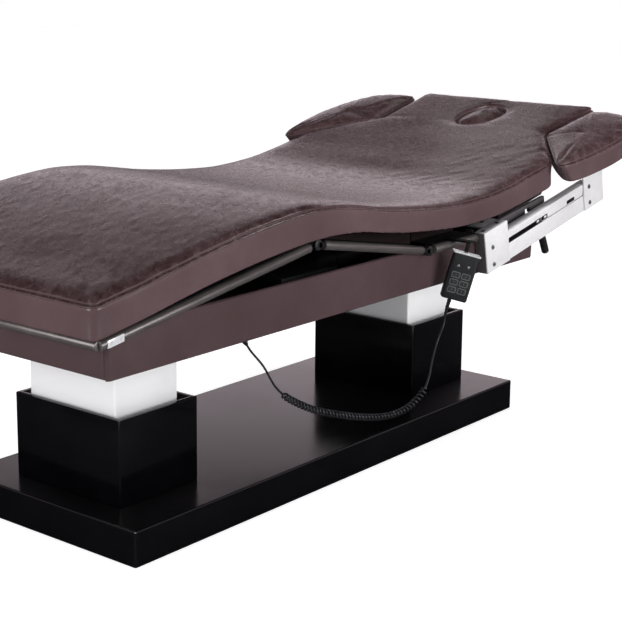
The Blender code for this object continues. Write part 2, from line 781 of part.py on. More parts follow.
def hinge_half(tag, x, z, rail_x, rail_z, half_span, eye_radius, finish, outer):
    """An eye and its tongue on each side. The outer eyes carry the pins, the inner ones the bores."""
    added, bores = [], []
    for side, hand in ((-1, "left"), (1, "right")):
        lane = outer_lane(side, half_span) if outer else inner_lane(side, half_span)
        added.append(eye(f"{tag}_eye_{hand}", x, z, *lane, eye_radius, finish))
        added.append(tongue(f"{tag}_tongue_{hand}", x, z, rail_x, rail_z, *lane, finish))
        far = inner_lane(side, half_span)
        if outer:
            reach = (far[0], lane[1] - TOUCH) if side > 0 else (lane[0] + TOUCH, far[1])
            added.append(eye(f"{tag}_pin_{hand}", x, z, *reach, PIN_RADIUS, finish))
        else:
            bore = (far[0] - OVERRUN, far[1] + OVERRUN)
            bores.append(eye(f"{tag}_bore_{hand}", x, z, *bore, PIN_RADIUS + PIN_CLEARANCE, finish))
    return added, bores


def side_rails(tag, start, end, half_span, finish):
    made = []
    for side, hand in ((-1, "left"), (1, "right")):
        y = side * half_span
        made.append(rod(f"{tag}_rail_{hand}", (start[0], y, start[1]), (end[0], y, end[1]), RAIL_RADIUS, finish))
    return made


def make_leg_frames(steel):
    """Thigh and calf frames: side rails, a sheet pan and hinge eyes, with a bar across the foot."""
    def thigh_z(x):
        return line_z(x, HIP_X, HINGE_Z, THIGH_SLOPE)

    def calf_z(x):
        return line_z(x, KNEE_X, KNEE_Z, CALF_SLOPE)

    start = (KNEE_X + RAIL_END_GAP, thigh_z(KNEE_X + RAIL_END_GAP))
    end = (HIP_X - RAIL_END_GAP, thigh_z(HIP_X - RAIL_END_GAP))
    pan_start = KNEE_X + THIGH_PAN_INSET
    pan_end = HIP_X - THIGH_PAN_INSET
    main = pan("thigh_frame", pan_start, pan_end, RAIL_HALF_SPAN, HIP_X, HINGE_Z, THIGH_SLOPE, steel)
    knee_parts, _ = hinge_half("thigh_knee", KNEE_X, KNEE_Z, *start, RAIL_HALF_SPAN, EYE_RADIUS, steel, True)
    hip_parts, _ = hinge_half("thigh_hip", HIP_X, HINGE_Z, *end, RAIL_HALF_SPAN, EYE_RADIUS, steel, True)
    crank = crank_arm("thigh_crank", HIP_X, ACTUATOR_OFFSET_Y, pan_end - CRANK_WIDTH, thigh_z, steel)
    rails = side_rails("thigh", start, end, RAIL_HALF_SPAN, steel)
    fuse(main, [*rails, *knee_parts, *hip_parts, crank])
    set_origin(main, (HIP_X, 0.0, HINGE_Z))

    foot_bar = FOOT_X + FOOT_BAR_X
    start = (foot_bar, calf_z(foot_bar))
    end = (KNEE_X - RAIL_END_GAP, calf_z(KNEE_X - RAIL_END_GAP))
    main = rod("calf_frame", (foot_bar, -RAIL_HALF_SPAN, start[1]), (foot_bar, RAIL_HALF_SPAN, start[1]),
               RAIL_RADIUS, steel)
    sheet = pan("calf_pan", KNEE_X - CALF_PAN_REACH, KNEE_X - CALF_PAN_INSET, RAIL_HALF_SPAN,
                KNEE_X, KNEE_Z, CALF_SLOPE, steel)
    knee_parts, bores = hinge_half("calf_knee", KNEE_X, KNEE_Z, *end, RAIL_HALF_SPAN, EYE_RADIUS, steel, False)
    plates = []
    for side, hand in ((-1, "left"), (1, "right")):
        face = side * (RAIL_HALF_SPAN + RAIL_RADIUS + END_PLATE_THICKNESS / 2)
        back = side * (RAIL_HALF_SPAN + RAIL_RADIUS / 2)
        low, high = foot_bar, foot_bar + END_PLATE_LENGTH
        lift = END_PLATE_HEIGHT / 2
        outline = [
            (low, calf_z(low) - lift), (high, calf_z(high) - lift),
            (high, calf_z(high) + lift), (low, calf_z(low) + lift),
        ]
        plates.append(prism_y(f"foot_plate_{hand}", outline, min(face, back), max(face, back), steel))
    rails = side_rails("calf", start, end, RAIL_HALF_SPAN, steel)
    fuse(main, [*rails, sheet, *knee_parts, *plates])
    cut(main, bores)
    set_origin(main, (KNEE_X, 0.0, KNEE_Z))


def set_origin(obj, point):
    """Moves an object's origin to a joint's axis and leaves its shape where it is."""
    shift = Vector(point) - obj.location
    obj.data.transform(Matrix.Translation(-shift))
    obj.location = point


def crank_arm(name, hinge_x, y, root_x, rail_z, finish):
    """An arm that hangs from a pan, whose tip stands square below the hinge line."""
    half = CRANK_WIDTH / 2
    sunk = (PAN_LOW + PAN_HIGH) / 2
    inner, outer = (root_x - half, root_x + half) if root_x < hinge_x else (root_x + half, root_x - half)
    near = hinge_x - half if root_x < hinge_x else hinge_x + half
    far = hinge_x + half if root_x < hinge_x else hinge_x - half
    outline = [
        (near, ACTUATOR_Z - half), (far, ACTUATOR_Z - half), (far, ACTUATOR_Z + half),
        (outer, rail_z(outer) + sunk), (inner, rail_z(inner) + sunk), (near, ACTUATOR_Z + half),
    ]
    return prism_y(name, outline, y, y + CRANK_THICKNESS, finish)


def make_seat_frame(steel):
    """The fixed middle frame: short side rails, a sheet pan, and ears for the hip and back hinges."""
    start_x = HIP_X + RAIL_END_GAP
    end_x = BACK_X - SEAT_RAIL_INSET
    main = pan("seat_frame", start_x, end_x, RAIL_HALF_SPAN, HIP_X, HINGE_Z, 0.0, steel)
    rails = side_rails("seat", (start_x, HINGE_Z), (end_x, HINGE_Z), RAIL_HALF_SPAN, steel)
    hip_parts, bores = hinge_half(
        "seat_hip", HIP_X, HINGE_Z, start_x, HINGE_Z, RAIL_HALF_SPAN, EYE_RADIUS, steel, False
    )
    ears, _ = hinge_half(
        "seat_back", BACK_X, HINGE_Z, end_x - TONGUE_HEIGHT, HINGE_Z + (PAN_LOW + PAN_HIGH) / 2 - TONGUE_HEIGHT / 2,
        BACK_RAIL_HALF_SPAN, BACK_EYE_RADIUS, steel, True,
    )
    fuse(main, [*rails, *hip_parts, *ears])
    cut(main, bores)


def make_back_frame(steel):
    """The tilting back frame, inboard of the skirt, with eyes on the back hinge."""
    main = tilted_block(
        "back_frame",
        (BACK_PAN_START, -BACK_RAIL_HALF_SPAN, PAN_LOW), (BACK_RAIL_REACH, BACK_RAIL_HALF_SPAN, PAN_HIGH),
        steel,
    )
    start = tilted(RAIL_END_GAP, 0.0, 0.0)
    end = tilted(BACK_RAIL_REACH, 0.0, 0.0)
    rails = side_rails("back", (start[0], start[2]), (end[0], end[2]), BACK_RAIL_HALF_SPAN, steel)
    eyes, bores = hinge_half(
        "back_hinge", BACK_X, HINGE_Z, start[0], start[2], BACK_RAIL_HALF_SPAN, BACK_EYE_RADIUS, steel, False
    )

    def back_z(x):
        return line_z(x, BACK_X, HINGE_Z, BACK_RATE)

    root = BACK_X + BACK_PAN_START + CRANK_WIDTH
    crank = crank_arm("back_crank", BACK_X, -ACTUATOR_OFFSET_Y, root, back_z, steel)
    cheeks = [back_cheek(side, steel) for side in (-1.0, 1.0)]
    fuse(main, [*rails, *eyes, crank, *cheeks])
    cut(main, bores)
    set_origin(main, (BACK_X, 0.0, HINGE_Z))


def back_cheek(side, finish):
    """A side plate under a back rail, notched where it passes over the skirt's head panel."""
    notch = SKIRT_REACH_ALONG_BACK
    outline = [
        (CHEEK_START, PAN_LOW), (CHEEK_START, -CHEEK_DROP),
        (notch - CHEEK_NOTCH_HALF, -CHEEK_DROP), (notch - CHEEK_NOTCH_HALF, -CHEEK_NOTCH_DROP),
        (notch + CHEEK_NOTCH_HALF, -CHEEK_NOTCH_DROP), (notch + CHEEK_NOTCH_HALF, -CHEEK_DROP),
        (BACK_RAIL_REACH - RAIL_RADIUS, -CHEEK_DROP), (BACK_RAIL_REACH - RAIL_RADIUS, PAN_LOW),
    ]
    places = [tilted(u, 0.0, w) for u, w in outline]
    ends = sorted((side * CHEEK_HALF_SPAN, side * (CHEEK_HALF_SPAN - CHEEK_SUNK)))
    return prism_y(f"back_cheek_{side:+.0f}", [(x, z) for x, _, z in places], *ends, finish)


def form_board(name, start, end, underside, x0, z0, slope, half_width, finish):
    """A form board: flat on its pan below, and following its cushion's underside above."""
    def under(x):
        for (ax, az), (bx, bz) in zip(underside, underside[1:]):
            if ax <= x <= bx:
                return az + (bz - az) * (x - ax) / (bx - ax) - TOUCH
        return underside[-1][1] - TOUCH

    steps = [start, *[x for x, _ in underside if start < x < end], end]
    lift = PAN_HIGH + TOUCH
    low = [(end, line_z(end, x0, z0, slope) + lift), (start, line_z(start, x0, z0, slope) + lift)]
    outline = [(x, under(x)) for x in steps] + low
    return prism_y(name, outline, -half_width, half_width, finish, (x0, 0.0, z0))


def neck_cutter(side, inset):
    """What is cut from the back board so that its sides follow the mattress's shoulders."""
    wide = side * (PAD_HALF_WIDTH - inset)
    narrow = side * (HEAD_HALF_WIDTH - inset)
    corner = side * (HEAD_HALF_WIDTH - NECK_TAPER - inset)
    outer = side * PAD_HALF_WIDTH
    start, end, head = BACK_X + NECK_START, BACK_X + NECK_END, HEAD_X
    outline = [(start, wide), (end, corner), (head, narrow), (head, outer), (start, outer)]
    levels = (HINGE_Z, HINGE_Z + BACK_RISE + PAD_THICKNESS)
    return loft(f"neck_cutter_{side:+.0f}", [[(x, y, z) for x, y in outline] for z in levels], None)


def make_boards(undersides, plywood):
    calf, thigh, seat, back = undersides
    form_board(
        "calf_board", KNEE_X - CALF_PAN_REACH, KNEE_X - CALF_PAN_INSET, calf, KNEE_X, KNEE_Z,
        CALF_SLOPE, BOARD_HALF_WIDTH, plywood,
    )
    form_board(
        "thigh_board", KNEE_X + THIGH_PAN_INSET, HIP_X - THIGH_PAN_INSET / 2, thigh, HIP_X, HINGE_Z,
        THIGH_SLOPE, BOARD_HALF_WIDTH, plywood,
    )
    form_board(
        "seat_board", HIP_X + RAIL_END_GAP, BACK_X - SEAT_RAIL_INSET, seat, HIP_X, HINGE_Z,
        0.0, SEAT_BOARD_HALF_WIDTH, plywood,
    )
    board = form_board(
        "back_board", BACK_X + BACK_PAN_START, HEAD_X - BACK_PAN_START / 2, back, BACK_X, HINGE_Z,
        BACK_RATE, PAD_HALF_WIDTH - BACK_BOARD_SIDE_INSET, plywood,
    )
    necks = [neck_cutter(side, BACK_BOARD_SIDE_INSET) for side in (-1.0, 1.0)]
    cut(board, [face_hole("face_hole_in_board"), *necks])


def make_spine(steel):
    """The box beam on the deck board, with two risers that carry the seat frame."""
    low = DECK_FLOOR_Z + TOUCH
    beam = block(
        "spine",
        (HIP_X - SPINE_START, -SPINE_HALF_WIDTH, low),
        (BACK_X + SPINE_END, SPINE_HALF_WIDTH, low + SPINE_HEIGHT),
        steel,
    )
    top = HINGE_Z + PAN_LOW - TOUCH
    half = RISER_LENGTH / 2
    start_x = HIP_X + RAIL_END_GAP + half
    end_x = BACK_X - SEAT_RAIL_INSET - half
    inset = SPINE_HALF_WIDTH * 0.8
    risers = [
        block(f"spine_riser_{i}", (x - half, -inset, low + SPINE_HEIGHT / 2), (x + half, inset, top), steel)
        for i, x in enumerate((start_x, end_x))
    ]
    return fuse(beam, risers)


def make_actuators(dark, bright):
    """Two linear actuators on the deck board. Each rod ends beside the crank that it pushes."""
    for name, hinge_x, side, along in (("leg", HIP_X, 1.0, -1.0), ("back", BACK_X, -1.0, -1.0)):
        y = side * ACTUATOR_OFFSET_Y
        near_end = hinge_x + along * ROD_REACH
        far_end = near_end + along * ACTUATOR_LENGTH
        body = rod(
            f"{name}_actuator", (far_end, rod_y(y), ACTUATOR_Z), (near_end, rod_y(y), ACTUATOR_Z),
            ACTUATOR_RADIUS, dark,
        )
        bore = rod(
            f"{name}_actuator_bore", (far_end + (near_end - far_end) * 0.12, rod_y(y), ACTUATOR_Z),
            (near_end + OVERRUN, rod_y(y), ACTUATOR_Z), ACTUATOR_BORE, dark,
        )
        cut(body, [bore])
        tip = hinge_x + CRANK_WIDTH / 2
        rod(
            f"{name}_actuator_rod", (tip - ROD_LENGTH, rod_y(y), ACTUATOR_Z), (tip, rod_y(y), ACTUATOR_Z),
            ROD_RADIUS, bright, (tip, rod_y(y), ACTUATOR_Z),
        )


def rod_y(crank_y):
    """The line of an actuator, just beside its crank."""
    return crank_y - CRANK_GAP - ROD_RADIUS


def make_control_box(plastic):
    x = KNEE_X + CONTROL_BOX_FROM_KNEE
    low = DECK_FLOOR_Z + TOUCH
    box = block(
        "control_box",
        (x, -CONTROL_BOX_Y - CONTROL_BOX_WIDTH / 2, low),
        (x + CONTROL_BOX_LENGTH, -CONTROL_BOX_Y + CONTROL_BOX_WIDTH / 2, low + CONTROL_BOX_HEIGHT),
        plastic,
    )
    edge = box.modifiers.new("rounded_edges", "BEVEL")
    edge.width = CONTROL_BOX_HEIGHT / 12
    edge.segments = 1


def armrest_origin(drop):
    return tilted(PIVOT_U, 0.0, -drop)


def make_armrest(side, hand, steel, black):
    """One armrest on its parallel links: bracket, two links, carrier, cushion and clamp lever."""
    face = side * BRACKET_FACE_Y
    back = side * (BRACKET_FACE_Y - BRACKET_PLATE)
    inner = side * BRACKET_FLANGE_INNER_Y
    link_outer = side * (BRACKET_FACE_Y - BRACKET_PLATE - TOUCH)
    link_inner = side * (BRACKET_FACE_Y - BRACKET_PLATE - TOUCH - LINK_WIDTH)
    head_face = side * (BRACKET_FACE_Y + BOLT_HEAD_HEIGHT)
    flange_low = RAIL_RADIUS + TOUCH
    flange_high = flange_low + BRACKET_FLANGE
    carrier_u = PIVOT_U + LINK_LENGTH
    carrier_top = armrest_low_w()

    def y_range(a, b):
        return min(a, b), max(a, b)

    def plate(name, low_u, high_u, low_w, high_w, a, b, finish):
        low_y, high_y = y_range(a, b)
        return tilted_block(name, (low_u, low_y, low_w), (high_u, high_y, high_w), finish)

    def cross_rod(name, u, w, a, b, radius, finish):
        low_y, high_y = y_range(a, b)
        return rod(name, tilted(u, low_y, w), tilted(u, high_y, w), radius, finish)

    def pins(tag, u):
        made = []
        for level, drop in (("upper", PIVOT_UPPER_DROP), ("lower", PIVOT_LOWER_DROP)):
            made.append(cross_rod(f"{tag}_{level}_pin", u, -drop, face, link_inner, PIN_RADIUS, steel))
            made.append(cross_rod(
                f"{tag}_{level}_head", u, -drop, head_face, (face + back) / 2, BOLT_HEAD_RADIUS, steel
            ))
        return made

    bracket = plate(f"armrest_bracket_{hand}", -BRACKET_START, BRACKET_END, -BRACKET_DROP, flange_high, face, back, steel)
    shelf_y = side * (SKIRT_HALF_WIDTH + BRACKET_SHELF_CLEARANCE)
    shelf = plate(f"bracket_shelf_{hand}", -BRACKET_START, BRACKET_END, flange_low, flange_high,
                  side * (BRACKET_FACE_Y - BRACKET_PLATE / 2), shelf_y, steel)
    flange = plate(f"bracket_flange_{hand}", BRACKET_TONGUE_START, BRACKET_END, flange_low, flange_high,
                   side * (BRACKET_FACE_Y - BRACKET_PLATE / 2), inner, steel)
    wall = plate(f"bracket_wall_{hand}", TOUCH - BRACKET_START, BRACKET_PLATE - BRACKET_START,
                 TOUCH - BRACKET_DROP, flange_high - TOUCH,
                 side * (BRACKET_FACE_Y - BRACKET_PLATE / 2), shelf_y, steel)
    fuse(bracket, [shelf, flange, wall, *pins(f"bracket_{hand}", PIVOT_U)])
    set_origin(bracket, (BACK_X, 0.0, HINGE_Z))

    block_start = PIVOT_U + LINK_BLOCK_ALONG
    levels = (
        ("upper", PIVOT_UPPER_DROP, UPPER_LINK_TOP_DROP, UPPER_LINK_BOTTOM_DROP),
        ("lower", PIVOT_LOWER_DROP, LOWER_LINK_TOP_DROP, BRACKET_DROP),
    )
    for level, drop, top_drop, bottom_drop in levels:
        link = plate(f"armrest_link_{level}_{hand}", PIVOT_U - LINK_END, carrier_u + LINK_END,
                     -bottom_drop, -top_drop, link_outer, link_inner, steel)
        if level == "upper":
            fuse(link, [plate(
                f"link_block_{hand}", block_start, carrier_u - LINK_END, -LINK_BLOCK_DROP,
                -(UPPER_LINK_TOP_DROP + UPPER_LINK_BOTTOM_DROP) / 2,
                link_outer - side * LINK_BLOCK_INSET, link_inner + side * LINK_BLOCK_INSET, steel,
            )])
        bores = [
            cross_rod(f"link_{level}_{hand}_bore_{i}", u, -drop, face, link_inner - side * OVERRUN,
                      PIN_RADIUS + PIN_CLEARANCE, steel)
            for i, u in enumerate((PIVOT_U, carrier_u))
        ]
        cut(link, bores)
        set_origin(link, armrest_origin(drop))

    low_u = carrier_u - CARRIER_LEAD
    high_u = carrier_u + CARRIER_TAIL
    carrier = plate(f"armrest_carrier_{hand}", low_u, high_u, -BRACKET_DROP, carrier_top - TOUCH, face, back, steel)
    flange = plate(f"carrier_flange_{hand}", low_u, high_u, carrier_top - TOUCH - BRACKET_FLANGE,
                   carrier_top - TOUCH, side * (BRACKET_FACE_Y - BRACKET_PLATE / 2), inner, steel)
    fuse(carrier, [flange, *pins(f"carrier_{hand}", carrier_u)])
    set_origin(carrier, tilted(carrier_u, 0.0, -PIVOT_LOWER_DROP))

    make_armrest_pad(side, hand)
    make_lever(side, hand, link_inner, black)


def armrest_low_w():
    """Height of the armrest's underside above the back section's line, at the carrier."""
    x = BACK_X + LINK_LENGTH * math.cos(BACK_SLOPE)
    top = underside_z(x) + thickness_at(x)
    return (top - ARMREST_THICKNESS - line_z(x, BACK_X, HINGE_Z, BACK_RATE)) * math.cos(BACK_SLOPE)


def outline_inset(outline, inset):
    """The outline moved inwards by one amount on every side."""
    count = len(outline)
    centre_x = sum(p[0] for p in outline) / count
    centre_y = sum(p[1] for p in outline) / count
    moved = []
    for i, (x, y) in enumerate(outline):
        before = Vector(outline[i - 1])
        after = Vector(outline[(i + 1) % count])
        here = Vector((x, y))
        first = (here - before).normalized()
        second = (after - here).normalized()
        normal = Vector((-(first.y + second.y), first.x + second.x)).normalized()
        if normal.dot(Vector((centre_x - x, centre_y - y))) < 0:
            normal = -normal
        bend = math.sqrt((1.0 + first.dot(second)) / 2.0)
        moved.append(here + normal * inset / max(bend, 0.6))
    return moved


def outline_scaled(outline, size):
    """The outline drawn in towards its middle."""
    count = len(outline)
    centre_x = sum(p[0] for p in outline) / count
    centre_y = sum(p[1] for p in outline) / count
    return [(centre_x + (x - centre_x) * size, centre_y + (y - centre_y) * size) for x, y in outline]


def make_armrest_pad(side, hand):
    """The wing-shaped armrest cushion: drawn-in sides, a welt round the top and a crown."""
    low_w = armrest_low_w()
    layers = (
        (0.0, PAD_SIDE_INSET * 1.5), (0.07, 0.0), (0.22, PAD_SIDE_INSET * 0.7), (0.50, PAD_SIDE_INSET),
        (0.78, PAD_SIDE_INSET * 0.7), (0.86, 0.0), (0.94, 0.0), (0.945, PAD_WELT_INSET),
    )
    rings = []
    thick = ARMREST_THICKNESS * math.cos(BACK_SLOPE)
    foot_reach = min(along for along, _ in ARMREST_OUTLINE)

    def ring(outline, share, rise):
        made = []
        for along, across in outline:
            tuck = ARMREST_UNDERCUT * (1.0 - share) * (min(along, 0.0) / foot_reach) ** 3
            u = (ARMREST_REACH + along + tuck) / math.cos(BACK_SLOPE)
            y = side * (HEAD_HALF_WIDTH + across)
            made.append(tilted(u, y, low_w + thick * share + rise))
        return made

    for share, inset in layers:
        rings.append(ring(outline_inset(ARMREST_OUTLINE, inset), share, 0.0))
    for size, rise in ARMREST_CROWN_SHARES:
        rings.append(ring(outline_scaled(ARMREST_OUTLINE, size), 1.0, ARMREST_CROWN * rise))
    origin = tilted(PIVOT_U + LINK_LENGTH, 0.0, -PIVOT_LOWER_DROP)
    loft(f"armrest_pad_{hand}", rings, LEATHER, origin, smooth=True)


def make_lever(side, hand, link_inner, black):
    """The black clamp lever on the inner side of the lower link."""
    u = PIVOT_U + LEVER_ALONG
    hub_y = (link_inner - side * TOUCH, link_inner - side * (TOUCH + LEVER_HUB_WIDTH))
    middle = sum(hub_y) / 2 - side * (LEVER_RADIUS - LEVER_HUB_WIDTH / 2)
    hub = rod(
        f"clamp_lever_{hand}",
        tilted(u, min(hub_y), -PIVOT_LOWER_DROP), tilted(u, max(hub_y), -PIVOT_LOWER_DROP),
        LEVER_HUB_RADIUS, black,
    )
    grip_top = Vector(tilted(u, middle, -PIVOT_LOWER_DROP - LEVER_OFFSET / 3))
    grip_low = grip_top + Vector((LEVER_LENGTH / 2, 0.0, -LEVER_LENGTH)) * (1.0 + LEVER_OFFSET / LEVER_LENGTH)
    fuse(hub, [rod(f"clamp_grip_{hand}", grip_top, grip_low, LEVER_RADIUS, black)])
    set_origin(hub, tilted(u, 0.0, -PIVOT_LOWER_DROP))


def handset_matrix():
    """Places the handset: local X across it, Y into it from its face, Z up it."""
    place = Matrix.Translation((HANDSET_X, HANDSET_Y, HANDSET_Z))
    return place @ Matrix.Rotation(HANDSET_YAW, 4, "Z") @ Matrix.Rotation(HANDSET_ROLL, 4, "Y")


def place_with_handset(obj, origin=(0.0, 0.0, 0.0)):
    """Turns an object modelled upright round the handset's middle into the handset's place."""
    obj.data.transform(Matrix.Translation(-Vector(origin)))
    obj.matrix_world = handset_matrix() @ Matrix.Translation(origin)
    return obj


def ring_round(centre, way, radius, sides):
    """A ring of points square to a direction."""
    turn = Vector(way).to_track_quat("Z", "Y")
    ring = []
    for i in range(sides):
        angle = math.tau * (i + 0.5) / sides
        ring.append(Vector(centre) + turn @ Vector((radius * math.cos(angle), radius * math.sin(angle), 0.0)))
    return ring


def relief_line():
    """Centre, direction and radius along the bent strain relief, in the handset's own frame."""
    low = -HANDSET_HEIGHT / 2
    step = RELIEF_LENGTH / 3
    half_bend = RELIEF_BEND / 2
    ways = [Vector((math.sin(a), 0.0, -math.cos(a))) for a in (0.0, 0.0, half_bend, RELIEF_BEND)]
    sizes = (RELIEF_RADIUS, RELIEF_RADIUS, (RELIEF_RADIUS + RELIEF_TIP_RADIUS) / 2, RELIEF_TIP_RADIUS)
    place = Vector((RELIEF_X, 0.0, low + HANDSET_EDGE))
    line = []
    for way, size in zip(ways, sizes):
        line.append((place.copy(), way, size))
        place += way * step
    return line


def make_handset(black, pale, bright):
    """Shell with six sprung buttons in pockets, and the hook that holds it to the seat rail."""
    half_w, half_h, half_d = HANDSET_WIDTH / 2, HANDSET_HEIGHT / 2, HANDSET_DEPTH / 2
    shell = block("handset_shell", (-half_w, -half_d, -half_h), (half_w, half_d, half_h), black)
    edge = shell.modifiers.new("rounded_edges", "BEVEL")
    edge.width = HANDSET_EDGE
    edge.segments = 2
    place_with_handset(shell)
    rings = [ring_round(place, way, size, 12) for place, way, size in relief_line()]
    fuse(shell, [place_with_handset(loft("handset_relief", rings, black, smooth=True))])
    pockets = []
    for row, word in enumerate(BUTTON_ROWS):
        z = BUTTON_TOP_ROW - row * BUTTON_PITCH_Z
        for column, way in ((-1, "down"), (1, "up")):
            x = column * BUTTON_PITCH_X / 2
            wide, tall = BUTTON_WIDTH / 2, BUTTON_HEIGHT / 2
            button = block(
                f"button_{word}_{way}",
                (x - wide, -half_d - BUTTON_PROUD, z - tall),
                (x + wide, -half_d - BUTTON_PROUD + BUTTON_DEPTH, z + tall),
                pale,
            )
            place_with_handset(button, (x, -half_d, z))
            wide += BUTTON_CLEARANCE
            tall += BUTTON_CLEARANCE
            pocket = block(
                f"pocket_{word}_{way}",
                (x - wide, -half_d - OVERRUN, z - tall), (x + wide, -half_d + BUTTON_POCKET, z + tall), black,
            )
            pockets.append(place_with_handset(pocket))
    cut(shell, pockets)
    make_hook(half_w, half_h, half_d, bright)


def make_hook(half_w, half_h, half_d, bright):
    """A bright rim round the handset's top, on an arm that lies on the seat rail."""
    gap = TOUCH
    top = half_h - HOOK_DROP
    low = top - HOOK_RIM_HEIGHT
    wall = HOOK_WALL
    rim = block("handset_hook", (-half_w - gap - wall, -half_d - gap - wall, low),
                (half_w + gap + wall, half_d + gap + wall, top), bright)
    window = block("hook_window", (-half_w - gap, -half_d - gap, low - OVERRUN),
                   (half_w + gap, half_d + gap, top + OVERRUN), bright)
    place_with_handset(rim)
    cut(rim, [place_with_handset(window)])
    post = block("hook_post", (-HOOK_SADDLE_WIDTH / 4, half_d + gap, low),
                 (HOOK_SADDLE_WIDTH / 4, half_d + gap + wall, half_h + HOOK_POST_RISE), bright)
    place_with_handset(post)
    rise = handset_matrix() @ Vector((0.0, half_d + gap + wall / 2, half_h + HOOK_POST_RISE))
    saddle_z = HINGE_Z + PAN_HIGH + TOUCH
    half = HOOK_SADDLE_WIDTH / 2
    saddle = block("hook_saddle", (rise.x - half, rise.y - half, saddle_z),
                   (rise.x + half, RAIL_RADIUS - RAIL_HALF_SPAN, saddle_z + HOOK_SADDLE_HEIGHT), bright)
    fuse(rim, [saddle, post])


def spline_points(route, steps):
    """A smooth curve through a route's points, with equal steps between each pair."""
    anchors = [Vector(p) for p in route]
    spans = [(b - a).length for a, b in zip(anchors, anchors[1:])]
    rates = [(b - a) / span for a, b, span in zip(anchors, anchors[1:], spans)]
    ways = [rates[0]]
    for i in range(1, len(rates)):
        before, after = spans[i - 1], spans[i]
        ways.append((rates[i - 1] * after + rates[i] * before) / (before + after))
    ways.append(rates[-1])
    made = []
    for i, span in enumerate(spans):
        for k in range(steps):
            t = k / steps
            made.append(
                anchors[i] * (2 * t**3 - 3 * t**2 + 1) + ways[i] * span * (t**3 - 2 * t**2 + t)
                + anchors[i + 1] * (3 * t**2 - 2 * t**3) + ways[i + 1] * span * (t**3 - t**2)
            )
    made.append(anchors[-1])
    return made


class Route:
    """A line of points read by the distance along it."""

    def __init__(self, points):
        self.points = points
        self.marks = [0.0]
        for a, b in zip(points, points[1:]):
            self.marks.append(self.marks[-1] + (b - a).length)
        self.length = self.marks[-1]

    def at(self, distance):
        k = 0
        while k < len(self.marks) - 2 and self.marks[k + 1] < distance:
            k += 1
        share = (distance - self.marks[k]) / (self.marks[k + 1] - self.marks[k])
        return self.points[k].lerp(self.points[k + 1], share)

    def ahead(self, distance):
        low = max(distance - CORD_RADIUS, 0.0)
        high = min(distance + CORD_RADIUS, self.length)
        return (self.at(high) - self.at(low)).normalized()


def tube_curve(name, points, resolution, finish):
    curve = bpy.data.curves.new(name, "CURVE")
    curve.dimensions = "3D"
    curve.bevel_depth = CORD_RADIUS
    curve.bevel_resolution = resolution
    curve.use_fill_caps = True
    line = curve.splines.new("POLY")
    line.points.add(len(points) - 1)
    for point, place in zip(line.points, points):
        point.co = (*place, 1.0)
    curve.materials.append(finish)
    obj = bpy.data.objects.new(name, curve)
    bpy.context.collection.objects.link(obj)
    return obj


def stretch(route, start, end):
    """Points of a plain stretch of cord, straight for one diameter at both ends."""
    first, last = route.at(start), route.at(end)
    points = [first, first + route.ahead(start) * CORD_STRAIGHT]
    low, high = start + CORD_STRAIGHT, end - CORD_STRAIGHT
    count = max(1, round((high - low) / CORD_SPACING))
    points += [route.at(low + (high - low) * i / count) for i in range(1, count)]
    points += [last - route.ahead(end) * CORD_STRAIGHT, last]
    return points


def curl_points(route, start, end):
    """The curly stretch: a helix round the route, whose ends swing in to its middle line."""
    side_way = Vector((0.0, 1.0, 0.0))
    low, high = start + CORD_STRAIGHT * 2, end - CORD_STRAIGHT * 2
    count = CURL_COUNT * POINTS_PER_CURL
    first, last = route.at(start), route.at(end)
    made = [first, first + route.ahead(start) * CORD_STRAIGHT]
    for i in range(count + 1):
        at = low + (high - low) * i / count
        ahead = route.ahead(at)
        across = (side_way - ahead * side_way.dot(ahead)).normalized()
        up = ahead.cross(across)
        angle = math.tau * i / POINTS_PER_CURL
        size = CURL_RADIUS * min(1.0, i / POINTS_PER_CURL, (count - i) / POINTS_PER_CURL)
        made.append(route.at(at) + (across * math.cos(angle) + up * math.sin(angle)) * size)
    made += [last - route.ahead(end) * CORD_STRAIGHT, last]
    return made


def least_self_gap(points, radius, skip):
    """The smallest gap between turns, for points more than skip places apart along the tube."""
    least = math.inf
    for i, a in enumerate(points):
        for b in points[i + skip:]:
            least = min(least, (a - b).length)
    return least - 2 * radius


def make_cord(black):
    """A gland under the deck, a straight lead, the curly stretch and a straight lead to the handset."""
    top = Vector((CORD_GLAND_X, CORD_GLAND_Y, DECK_BOTTOM_Z - TOUCH))
    collar = top - Vector((0.0, 0.0, GLAND_COLLAR))
    down = Vector((0.0, 0.0, -1.0))
    exit_way = Vector((CORD_EXIT_X, 0.0, -CORD_EXIT_DROP)).normalized()
    tip = collar + exit_way * (GLAND_COLLAR + GLAND_RADIUS)
    rings = [
        ring_round(top, down, GLAND_RADIUS, 12), ring_round(collar, down, GLAND_RADIUS, 12),
        ring_round(tip, exit_way, GLAND_TIP_RADIUS, 12),
    ]
    loft("cord_gland", rings, black, smooth=True)
    place, way, _ = relief_line()[-1]
    handset_exit = handset_matrix() @ (place + way * TOUCH)
    before = handset_matrix() @ (place + way * CORD_SPACING)
    hanging = [(x, -SKIRT_HALF_WIDTH - out, z) for x, out, z in CORD_ROUTE]
    anchors = [tip + exit_way * TOUCH, tip + exit_way * CORD_SPACING, *hanging, before, handset_exit]
    route = Route(spline_points(anchors, ROUND_SIDES))
    start = route.length * CURL_START_SHARE
    end = route.length * CURL_END_SHARE
    gap = TOUCH / 2
    tube_curve("cord_lead", stretch(route, 0.0, start - gap), 2, black)
    curls = curl_points(route, start + gap, end - gap)
    tube_curve("cord_curls", curls, 1, black)
    least = least_self_gap(curls, CORD_RADIUS, POINTS_PER_CURL // 2)
    print(f"cord_curls: least gap between turns {least * 1000:.2f} mm, route {route.length:.3f} m")
    tube_curve("cord_handset_lead", stretch(route, end + gap, route.length), 2, black)


